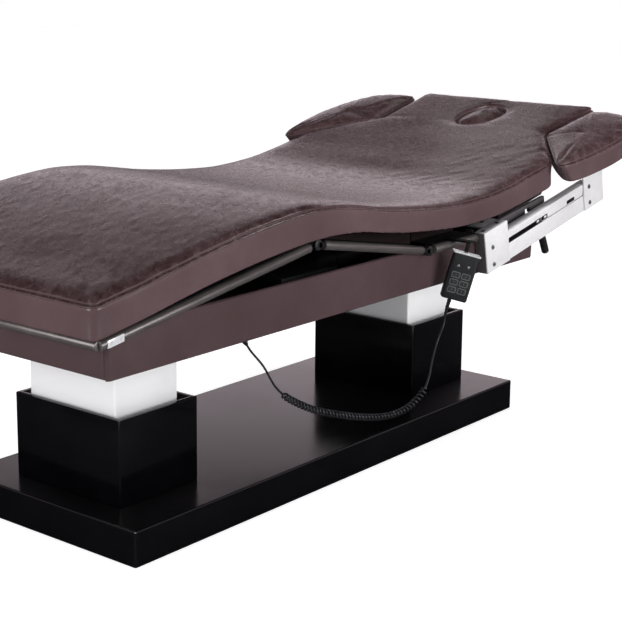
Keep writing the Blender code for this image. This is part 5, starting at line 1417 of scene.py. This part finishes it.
def make_seat_frame():
    start, end = HIP_X + RAIL_END_GAP, BACK_X - 0.040
    parts = [pan(start, end, seat_z)]
    parts += [side_rail(side, start, end, seat_z) for side in (-1, 1)]
    parts += knuckles("hip", HIP_X, HINGE_Z, start, HINGE_Z, RAIL_HALF_SPAN, EYE_RADIUS, False)
    ear = (end - TONGUE_HEIGHT, HINGE_Z + (PAN_LOW + PAN_HIGH) / 2 - TONGUE_HEIGHT / 2)
    parts += knuckles("ear", BACK_X, HINGE_Z, *ear, BACK_RAIL_HALF_SPAN, BACK_EYE_RADIUS, True)
    stands_for(joined("seat_rails", parts), "deck", "seat_frame", slot="grey_steel")


def make_back_frame():
    """Back rails and pan, with a cheek plate on each side, notched over the skirt."""
    section = pan_section(BACK_RAIL_HALF_SPAN)
    rings = [[tilted(u, y, w) for y, w in section] for u in (BACK_PAN_START, BACK_PAN_END)]
    parts = [loft("pan", rings, DARK_STEEL, smooth=False)]
    places = [tilted(u, 0.0, w) for u, w in CHEEK_OUTLINE]
    for side in (-1, 1):
        y = side * BACK_RAIL_HALF_SPAN
        parts.append(rail("rail", tilted(RAIL_END_GAP, y, 0.0), tilted(BACK_PAN_END, y, 0.0)))
        ends = sorted((side * CHEEK_OUTER_Y, side * CHEEK_INNER_Y))
        parts.append(prism_y("cheek", [(p.x, p.z) for p in places], *ends, GREY_PAINT))
    start = tilted(RAIL_END_GAP, 0.0, 0.0)
    parts += knuckles("hinge", BACK_X, HINGE_Z, start.x, start.z, BACK_RAIL_HALF_SPAN, BACK_EYE_RADIUS, False)
    parts.append(crank(BACK_X, -ACTUATOR_Y, BACK_X + BACK_PAN_START + CRANK_WIDTH, back_z))
    stands_for(joined("back_rails", parts), "back", "back_frame", slot="grey_steel")


make_thigh_frame()
make_calf_frame()
make_seat_frame()
make_back_frame()


# Armrest metalwork, placed in the back section's frame

BRACKET_FACE_Y, BRACKET_PLATE = 0.4135, 0.004
BRACKET_BACK_Y = BRACKET_FACE_Y - BRACKET_PLATE
BRACKET_START, BRACKET_END, BRACKET_DROP = 0.0265, 0.076, 0.088
FLANGE_LOW, FLANGE_HIGH = 0.0103, 0.0163
FLANGE_INNER_Y, SHELF_Y = 0.335, 0.3825
PIVOT_U, UPPER_DROP, LOWER_DROP = 0.003, 0.028, 0.072
LINK_OUTER, LINK_INNER, LINK_END = 0.4092, 0.3836, 0.013
UPPER_TOP, UPPER_BOTTOM, LOWER_TOP, BLOCK_BOTTOM, BLOCK_ALONG = 0.015, 0.0335, 0.0465, 0.044, 0.247
LEVER_ALONG, LEVER_LENGTH, LEVER_RADIUS, LEVER_OFFSET = 0.281, 0.060, 0.0098, 0.015
HUB_LENGTH = 0.012
CARRIER_LEAD, CARRIER_TAIL = 0.025, 0.075
BOLT_RADIUS, BOLT_HEIGHT, BOLT_DEPTH, SCREW_RADIUS = 0.0060, 0.0030, 0.030, 0.0055


def slab(name, side, u, w, y, finish, edge=0.0007):
    """A plate between two places along u, up w and across y."""
    low_y, high_y = sorted((side * y[0], side * y[1]))
    return box(name, (u[0], low_y, w[0]), (u[1], high_y, w[1]), finish, edge, 2, tilted)


def bar(side, u, w, y, round_low, round_high, edge=0.0009):
    """A plate as a slab is, with the corners of its lower and its upper end rounded."""
    def corner(at_u, at_w, way_u, way_w, radius):
        return [
            (at_u + way_u * radius * (1 - math.sin(t)), at_w + way_w * radius * (1 - math.cos(t)))
            for t in (math.pi / 2 * k / 5 for k in range(6))
        ]

    outline = corner(u[0], w[0], 1, 1, round_low)[::-1] + corner(u[1], w[0], -1, 1, round_high)
    outline += corner(u[1], w[1], -1, -1, round_high)[::-1] + corner(u[0], w[1], 1, -1, round_low)
    rings = [[tilted(along, side * across, up) for along, up in outline] for across in y]
    return softened(loft("bar", rings, SHADED_MOUNT_PAINT, smooth=False), edge, 2, 40)


def bolt(side, u, w):
    """A button-head screw on the outer face of a plate, with a dark hexagon on its head: a painted shade for
    its socket.
    """
    def at(proud):
        return tilted(u, side * (BRACKET_FACE_Y + proud), w)

    r = BOLT_RADIUS
    span = BOLT_HEIGHT + BOLT_DEPTH
    rise = BOLT_HEIGHT / span
    profile = (
        (0.0, r * 0.50), (0.25 * rise, r * 0.86), (0.75 * rise, r), (rise, r),
        (rise + 0.0001 / span, 0.0038), (1.0, 0.0038),
    )
    socket = (at(BOLT_HEIGHT + 0.00015), at(BOLT_HEIGHT - 0.0012))
    return [
        turned("bolt", at(BOLT_HEIGHT), at(-BOLT_DEPTH), profile, BOLT_STEEL, 24),
        turned("bolt_socket_shade", *socket, ((0.0, r * 0.54), (1.0, r * 0.50)), DARK_STEEL, 6),
    ]


def top_screw(side, u, y, w):
    """A small round-head screw on top of a flange, with a black hexagon on its head: a painted shade for its
    socket.
    """
    r = SCREW_RADIUS
    head = (tilted(u, side * y, w + 0.0016), tilted(u, side * y, w - 0.0010))
    socket = (tilted(u, side * y, w + 0.0017), tilted(u, side * y, w + 0.0006))
    profile = ((0.0, r * 0.62), (0.3, r * 0.95), (0.6, r), (1.0, r))
    return [
        turned("screw", *head, profile, DARK_STEEL, 20),
        turned("screw_socket_shade", *socket, ((0.0, r * 0.45), (1.0, r * 0.42)), BLACK_PLASTIC, 6),
    ]


def make_bracket(side, hand):
    face = BRACKET_FACE_Y
    start, end = -BRACKET_START, BRACKET_END
    parts = [
        slab("face", side, (start, end), (-BRACKET_DROP, FLANGE_HIGH), (face, BRACKET_BACK_Y),
             SHADED_MOUNT_PAINT, 0.0011),
        # The shelf and flange take a lighter grey than the wall: painted light on their tops.
        slab("shelf", side, (start + 0.0004, end - 0.0004), (FLANGE_LOW, FLANGE_HIGH - 0.0003),
             (face - 0.002, SHELF_Y), LIT_FLANGE_PAINT),
        slab("flange", side, (0.015, end - 0.0006), (FLANGE_LOW + 0.0002, FLANGE_HIGH - 0.0005),
             (face - 0.003, FLANGE_INNER_Y), LIT_FLANGE_PAINT),
        slab("wall", side, (start + 0.0003, start + BRACKET_PLATE),
             (-BRACKET_DROP + 0.0003, FLANGE_HIGH - 0.0006), (face - 0.002, SHELF_Y), GREY_PAINT),
    ]
    for drop in (UPPER_DROP, LOWER_DROP):
        parts += bolt(side, PIVOT_U, -drop)
    for u, y in ((-0.010, 0.398), (0.052, 0.398), (0.045, 0.360)):
        parts += top_screw(side, u, y, FLANGE_HIGH - 0.0004)
    mount = joined(f"armrest_mount_{hand}", parts)
    stands_for(mount, "back", f"armrest_bracket_{hand}", slot="white_paint")


def clamp_detail(side, u):
    """A dark clamp plate with a bright tooth, on the lock block."""
    low, high = -BLOCK_BOTTOM + 0.0015, -UPPER_BOTTOM + 0.0012
    return [
        slab("clamp", side, (u, u + 0.024), (low, high), (LINK_OUTER + 0.0007, LINK_OUTER - 0.002),
             DARK_STEEL, 0.0005),
        slab("tooth", side, (u + 0.006, u + 0.018), (low + 0.003, high - 0.002),
             (LINK_OUTER + 0.0012, LINK_OUTER), BRIGHT_STEEL, 0.0004),
    ]


def make_links(side, hand):
    """The upper link with its lock block and a black sheet in its slot, a painted shadow, and the lower link
    with a black strip along its top, a painted shade.
    """
    along, across = (PIVOT_U - LINK_END, PIVOT_U + LINK_LENGTH + LINK_END), (LINK_OUTER, LINK_INNER)
    start, last = PIVOT_U + BLOCK_ALONG, PIVOT_U + LINK_LENGTH - LINK_END
    parts = [
        bar(side, along, (-UPPER_BOTTOM, -UPPER_TOP), across, 0.004, 0.004),
        slab("block", side, (start, last), (-BLOCK_BOTTOM, -(UPPER_TOP + UPPER_BOTTOM) / 2),
             (LINK_OUTER - 0.0008, LINK_INNER + 0.0008), SHADED_MOUNT_PAINT),
        *clamp_detail(side, start - 0.042),
        *clamp_detail(side, start - 0.006),
        slab("lip", side, (last - 0.095, last - 0.058), (-BLOCK_BOTTOM + 0.002, -UPPER_BOTTOM + 0.001),
             (LINK_OUTER + 0.0006, LINK_OUTER - 0.002), DARK_STEEL),
        # Painted shadow: a black sheet in the slot between the links.
        slab("shadow_liner", side, (PIVOT_U + 0.020, start + 0.004), (-0.051, -0.028),
             (LINK_INNER - 0.0002, LINK_INNER - 0.0010), BLACK_PLASTIC, 0.0003),
    ]
    upper = joined(f"armrest_bar_upper_{hand}", parts)
    stands_for(upper, f"armrest_upper_{hand}", f"armrest_link_upper_{hand}", slot="white_paint")
    parts = [
        bar(side, along, (-BRACKET_DROP, -LOWER_TOP), across, 0.006, 0.006),
        # Painted shade: a black strip along the lower link's top.
        slab("shade", side, (PIVOT_U + 0.010, start - 0.002), (-LOWER_TOP - 0.0004, -LOWER_TOP + 0.0004),
             (LINK_OUTER - 0.0006, LINK_INNER + 0.0006), BLACK_PLASTIC, 0.0002),
    ]
    lower = joined(f"armrest_bar_lower_{hand}", parts)
    stands_for(lower, f"armrest_lower_{hand}", f"armrest_link_lower_{hand}", slot="white_paint")


def make_carrier(side, hand):
    u = PIVOT_U + LINK_LENGTH
    start, end = u - CARRIER_LEAD, u + CARRIER_TAIL
    top = armrest_low_w() - TOUCH
    parts = [
        bar(side, (start, end), (-BRACKET_DROP, top), (BRACKET_FACE_Y, BRACKET_BACK_Y),
            0.0015, 0.006, 0.0011),
        slab("flange", side, (start + 0.0005, end - 0.0005), (top - 0.006, top - 0.0003),
             (BRACKET_FACE_Y - 0.002, FLANGE_INNER_Y), GREY_PAINT),
    ]
    for drop in (UPPER_DROP, LOWER_DROP):
        parts += bolt(side, u, -drop)
    carrier = joined(f"armrest_carrier_plate_{hand}", parts)
    stands_for(carrier, f"armrest_{hand}", f"armrest_carrier_{hand}", slot="white_paint")


def make_lever(side, hand):
    """A clamp lever: turned hub with a cap, and a ribbed plastic grip."""
    u = PIVOT_U + LEVER_ALONG
    near = LINK_INNER - TOUCH
    far = near - HUB_LENGTH
    middle = (near + far) / 2 - (LEVER_RADIUS - 0.006)
    profile = ((0.0, 0.0070), (0.06, 0.0080), (0.80, 0.0080), (0.90, 0.0074), (0.93, 0.0050), (1.0, 0.0046))
    ends = (tilted(u, side * near, -LOWER_DROP), tilted(u, side * far, -LOWER_DROP))
    hub = turned("hub", *ends, profile, BLACK_PLASTIC, 28)
    start = tilted(u, side * middle, -LOWER_DROP - LEVER_OFFSET / 3)
    end = start + Vector((LEVER_LENGTH / 2, 0.0, -LEVER_LENGTH)) * (1.0 + LEVER_OFFSET / LEVER_LENGTH)
    r = LEVER_RADIUS
    profile = [(0.0, r * 0.50), (0.03, r * 0.62), (0.24, r * 0.66), (0.27, r * 0.86), (0.30, r * 0.95)]
    for k in range(7):
        low = 0.33 + k * 0.085
        profile += [(low, r), (low + 0.045, r), (low + 0.055, r * 0.90), (low + 0.075, r * 0.90)]
    profile += [(0.935, r), (0.965, r * 0.93), (0.987, r * 0.70), (1.0, r * 0.35)]
    grip = turned("grip", start, end, profile, BLACK_PLASTIC, 28)
    handle = joined(f"clamp_handle_{hand}", [hub, grip])
    stands_for(handle, f"lever_{hand}", f"clamp_lever_{hand}", slot="black_plastic")


for side, hand in ((-1, "left"), (1, "right")):
    make_bracket(side, hand)
    make_links(side, hand)
    make_carrier(side, hand)
    make_lever(side, hand)


# Handset, its buttons and its hook

BUTTON_HALF_W, BUTTON_HALF_H, BUTTON_PROUD, BUTTON_DEPTH = 0.008, 0.005, 0.0008, 0.0022
POCKET_DEPTH, BUTTON_GAP = 0.0034, 0.0004
COLUMN_X = 0.012
BUTTON_PLACES = [(column * COLUMN_X, 0.004 - row * 0.018) for row in range(3) for column in (-1, 1)]
BUTTON_NAMES = [f"{word}_{way}" for word in ("lift", "back", "legs") for way in ("down", "up")]
MARK_SIZE = 0.00372


def on_handset(x, y, z):
    return HANDSET_PLACE @ Vector((x, y, z))


def rounded_rectangle(half_x, half_z, corner, y, x=0.0, z=0.0, steps=4):
    """A ring on the handset at one depth y, round a rectangle with rounded corners."""
    return [on_handset(x + p.x, y, z + p.y) for p, _ in rectangle_ring(half_x, half_z, corner, steps)]


def outline_ring(name, place, half_x, half_z, corner, sunk, width, rise, finish):
    """A thin raised line round a rectangle on the handset's face."""
    y = -HALF_D + sunk
    outer = (half_x, half_z, corner)
    inner = (half_x - width, half_z - width, max(corner - width, 0.0002))
    rings = [
        rounded_rectangle(*size, level, *place)
        for size, level in ((outer, y), (outer, y - rise), (inner, y - rise), (inner, y))
    ]
    return hoop(name, rings, finish, smooth=False)


def triangle(x, z, half, tip, base, levels):
    """A raised triangle on the handset; base is how far it reaches behind the place, as a share of tip."""
    outline = ((x - half, z - tip * base), (x + half, z - tip * base), (x, z + tip))
    rings = [[on_handset(px, level, pz) for px, pz in outline] for level in levels]
    return loft("mark", rings, PALE_INK, smooth=False)


def strain_relief():
    """The ribbed sleeve where the cord enters the handset."""
    ribs = (
        (0.0, 1.0), (0.22, 1.0), (0.25, 0.84), (0.47, 0.84),
        (0.5, 1.0), (0.72, 1.0), (0.75, 0.84), (0.97, 0.84),
    )
    line = relief_line()
    rings = []
    for (a, way_a, r_a), (b, way_b, r_b) in zip(line, line[1:]):
        for share, size in ribs:
            way = way_a.lerp(way_b, share).normalized()
            rings.append(ring_round(a.lerp(b, share), way, (r_a + (r_b - r_a) * share) * size, 20))
    rings.append(ring_round(*line[-1], 20))
    return loft("relief", [[HANDSET_PLACE @ p for p in ring] for ring in rings], BLACK_PLASTIC, sharp=30)


def make_handset():
    side = ((0.0, 0.0034), (0.0006, 0.0014), (0.0022, 0.0003), (0.004, 0.0))
    layers = [(-HALF_D + depth, inset) for depth, inset in side]
    layers += [(-0.0006, 0.0), (0.0, 0.0006), (0.0006, 0.0)]
    layers += [(HALF_D - depth, inset) for depth, inset in reversed(side)]
    rings = [
        rounded_rectangle(HALF_W - inset, HALF_H - inset, max(0.0055 - inset, 0.0006), y, steps=6)
        for y, inset in layers
    ]
    shell = loft("shell", rings, BLACK_PLASTIC, sharp=60)
    cutters = []
    size = (BUTTON_HALF_W + BUTTON_GAP, BUTTON_HALF_H + BUTTON_GAP, 0.0016)
    for place in BUTTON_PLACES:
        rings = [rounded_rectangle(*size, y, *place) for y in (-HALF_D - 0.004, -HALF_D + POCKET_DEPTH)]
        cutters.append(loft("pocket", rings, BLACK_PLASTIC))
    for cutter in cutters:
        hole = shell.modifiers.new("pocket", "BOOLEAN")
        hole.object = cutter
        hole.operation = "DIFFERENCE"
        hole.solver = "EXACT"
    settle(shell)
    for cutter in cutters:
        bpy.data.objects.remove(cutter)
    parts = [shell]
    for place in BUTTON_PLACES:
        parts.append(outline_ring("line", place, 0.0099, 0.0069, 0.0022, 0.0001, 0.00075, 0.00035, PALE_INK))
    for column, tip in ((-1, MARK_SIZE), (1, -MARK_SIZE)):
        parts.append(triangle(column * COLUMN_X, 0.027, MARK_SIZE, tip, 0.8, (-HALF_D, -HALF_D - 0.00025)))
    bezel = (0.0265, 0.0350, 0.0030, 0.0002, 0.0007, 0.0003)
    parts.append(outline_ring("bezel", (0.0, -0.012), *bezel, BLACK_PLASTIC))
    parts.append(strain_relief())
    stands_for(joined("handset", parts), "deck", "handset_shell", slot="black_plastic")


def make_buttons():
    front = -HALF_D - BUTTON_PROUD
    layers = (
        (front + BUTTON_DEPTH, 0.0), (front + 0.0007, 0.0), (front + 0.0002, 0.0003),
        (front, 0.0009), (front + 0.00025, 0.0032),
    )
    for (x, z), name in zip(BUTTON_PLACES, BUTTON_NAMES):
        rings = []
        for y, inset in layers:
            size = (BUTTON_HALF_W - inset, BUTTON_HALF_H - inset, max(0.0014 - inset, 0.0004))
            rings.append(rounded_rectangle(*size, y, x, z))
        key = loft("key", rings, BUTTON_PLASTIC, sharp=50)
        tip = 0.0011 if name.endswith("up") else -0.0011
        mark = triangle(x, z, 0.0013, tip, 0.7, (front + 0.0004, front + 0.0001))
        button = joined(f"key_{name}", [key, mark])
        stands_for(button, f"button_{name}", f"button_{name}", slot="button_plastic")


def make_hook():
    """A thin bright rim round the handset's top, on a dark post and a saddle on the seat's pan."""
    wall = 0.002
    top = HALF_H + 0.0022
    low = top - 0.0036
    section = (
        (0.0, low + 0.0003), (0.0, top - 0.0004), (0.0005, top), (wall - 0.0005, top),
        (wall, top - 0.0004), (wall, low + 0.0003), (wall - 0.0003, low), (0.0003, low),
    )
    rings = []
    for place, out in rectangle_ring(HALF_W + TOUCH + wall, HALF_D + TOUCH + wall, wall + 0.0003, 4):
        rings.append([on_handset(*(place - out * inset), z) for inset, z in section])
    rim = hoop("rim", rings, BRIGHT_STEEL, sharp=35)
    back, post_top = HALF_D + TOUCH, HALF_H + 0.026
    ends = (-0.005, back, low), (0.005, back + wall, post_top)
    post = box("post", *ends, DARK_STEEL, 0.0005, 2, on_handset)
    rise = on_handset(0.0, back + wall / 2, post_top)
    saddle_z = HINGE_Z + PAN_HIGH + TOUCH
    low = (rise.x - 0.010, rise.y - 0.010, saddle_z)
    high = (rise.x + 0.010, RAIL_RADIUS - RAIL_HALF_SPAN, saddle_z + 0.004)
    saddle = box("saddle", low, high, DARK_STEEL, 0.0006)
    hook = joined("handset_hook_rim", [rim, post, saddle])
    stands_for(hook, "deck", "handset_hook", slot="polished_steel")


make_handset()
make_buttons()
make_hook()


# Actuators and control box inside the deck

def make_actuators():
    r = ACTUATOR_RADIUS
    profile = (
        (0.0, r * 0.60), (0.01, r * 0.78), (0.05, r * 0.80), (0.06, r), (0.30, r), (0.305, r * 0.93),
        (0.36, r * 0.93), (0.365, r), (0.90, r), (0.905, r * 0.93), (0.93, r * 0.93), (0.935, r), (0.99, r),
        (1.0, r * 0.94), (1.0, 0.0108), (0.97, 0.0106),
    )
    for name, hinge_x, side in (("leg", HIP_X, 1), ("back", BACK_X, -1)):
        y = side * ACTUATOR_Y - TOUCH - 0.010
        far, near = ((hinge_x - reach, y, ACTUATOR_Z) for reach in (0.330, 0.070))
        case = joined(f"{name}_actuator_case", [turned("case", far, near, profile, BLACK_PLASTIC, 36)])
        stands_for(case, "deck", f"{name}_actuator", slot="black_steel")
        tip = hinge_x + CRANK_WIDTH / 2
        rod = rail("rod", (tip - 0.220, y, ACTUATOR_Z), (tip, y, ACTUATOR_Z), 0.010, ALUMINIUM)
        piston = joined(f"{name}_actuator_piston", [rod])
        stands_for(piston, f"{name}_rod", f"{name}_actuator_rod", slot="polished_steel")


def make_control_box():
    low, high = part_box("control_box")
    parts = [box("case", low, high, BLACK_PLASTIC, 0.0035, 3)]
    # Painted shade: flush dark strips on the case's top stand for its vent slots.
    for k in range(6):
        x = low[0] + 0.030 + k * 0.012
        ends = (x, low[1] + 0.030, high[2] - 0.0010), (x + 0.005, high[1] - 0.030, high[2])
        parts.append(box("vent_shade_strip", *ends, DARK_STEEL, 0.0004))
    stands_for(joined("control_box_case", parts), "deck", "control_box", slot="black_plastic")


make_actuators()
make_control_box()

for node, finish in (
    ("base_plate", DARK_STEEL), ("plinth_cover", LACQUER), ("lift_outer_foot", ALUMINIUM),
    ("lift_outer_head", ALUMINIUM), ("lift_inner_foot", ALUMINIUM), ("lift_inner_head", ALUMINIUM),
    ("deck_board", BOARD), ("spine", DARK_STEEL), ("seat_board", BOARD), ("thigh_board", BOARD),
    ("calf_board", BOARD), ("back_board", BOARD),
):
    paint(node, finish)


# Stage: a plain pale floor, soft studio light

FLOOR_REACH, FLOOR_Z, FLOOR_GLOW = 14.0, -0.0006, 0.68


def make_floor():
    """A pale floor that glows a little to the camera, and looks dark to what mirrors it."""
    f = Finish("floor", (0.86, 0.86, 0.87), 0.6, Emission_Color=(1.0, 1.0, 1.0, 1.0))
    rays = f.node("ShaderNodeLightPath").outputs
    tint = f.tinted(rays["Is Glossy Ray"], (0.86, 0.86, 0.87), (0.030, 0.030, 0.034))
    f.feed(f.shader.inputs["Base Color"], tint)
    f.feed(f.shader.inputs["Emission Strength"], f.maths("MULTIPLY", rays["Is Camera Ray"], FLOOR_GLOW))
    corners = [(x * FLOOR_REACH, y * FLOOR_REACH, FLOOR_Z) for x, y in ((-1, -1), (1, -1), (1, 1), (-1, 1))]
    new_object("floor", corners, [(0, 1, 2, 3)], f.material, smooth=False)


def make_world():
    """Plain white to the camera and soft light on all; what mirrors it sees a low band to one side."""
    world = bpy.data.worlds.new("world")
    bpy.context.scene.world = world
    world.use_nodes = True
    n = Nodes(world.node_tree)
    sky = n.tree.nodes["Background"]
    rays = n.node("ShaderNodeLightPath").outputs
    n.feed(sky.inputs["Color"], n.tinted(rays["Is Glossy Ray"], (1.0, 1.0, 1.0), (1.0, 0.86, 0.92)))
    place = n.node("ShaderNodeTexCoord").outputs["Generated"]
    way = n.node("ShaderNodeVectorMath", operation="DOT_PRODUCT")
    way.inputs[1].default_value = (0.76, 0.65, 0.0)
    n.feed(way.inputs[0], place)
    parts = n.node("ShaderNodeSeparateXYZ")
    n.feed(parts.inputs["Vector"], place)
    to_side = n.span(way.outputs["Value"], -0.3, 0.6, 0.06, 1.0)
    low_glow = n.span(parts.outputs["Z"], 0.10, 0.20, 0.10, 1.0)
    high_fall = n.span(parts.outputs["Z"], 0.20, 0.37, 2.0, 0.04)
    mirrored = n.maths("MULTIPLY", to_side, n.maths("MULTIPLY", low_glow, high_fall))
    lit = n.mixed(rays["Is Glossy Ray"], 0.40, mirrored)
    n.feed(sky.inputs["Strength"], n.mixed(rays["Is Camera Ray"], lit, 1.0))


def make_lamp(name, place, target, size, power):
    data = bpy.data.lights.new(name, "AREA")
    data.shape = "RECTANGLE"
    data.size, data.size_y = size
    data.energy = power
    lamp = linked(name, data)
    way = Vector(target) - Vector(place)
    lamp.rotation_mode = "QUATERNION"
    lamp.rotation_quaternion = way.to_track_quat("-Z", "Y")
    lamp.location = place


make_floor()
make_world()
make_lamp("key", (0.1, -4.6, 1.5), (0.0, 0.0, 0.4), (3.0, 2.0), 145.0)
make_lamp("back_softbox", (1.57, 0.50, 1.36), (0.55, -0.25, 0.76), (0.4, 0.12), 0.22)
make_lamp("overhead", (0.6, -0.6, 1.95), (0.0, -0.2, 0.5), (0.24, 0.24), 10.0)
make_lamp("foot_fill", (-4.2, 0.6, 1.3), (-0.6, 0.0, 0.5), (1.8, 1.8), 90.0)
bpy.context.scene.view_settings.view_transform = "Standard"
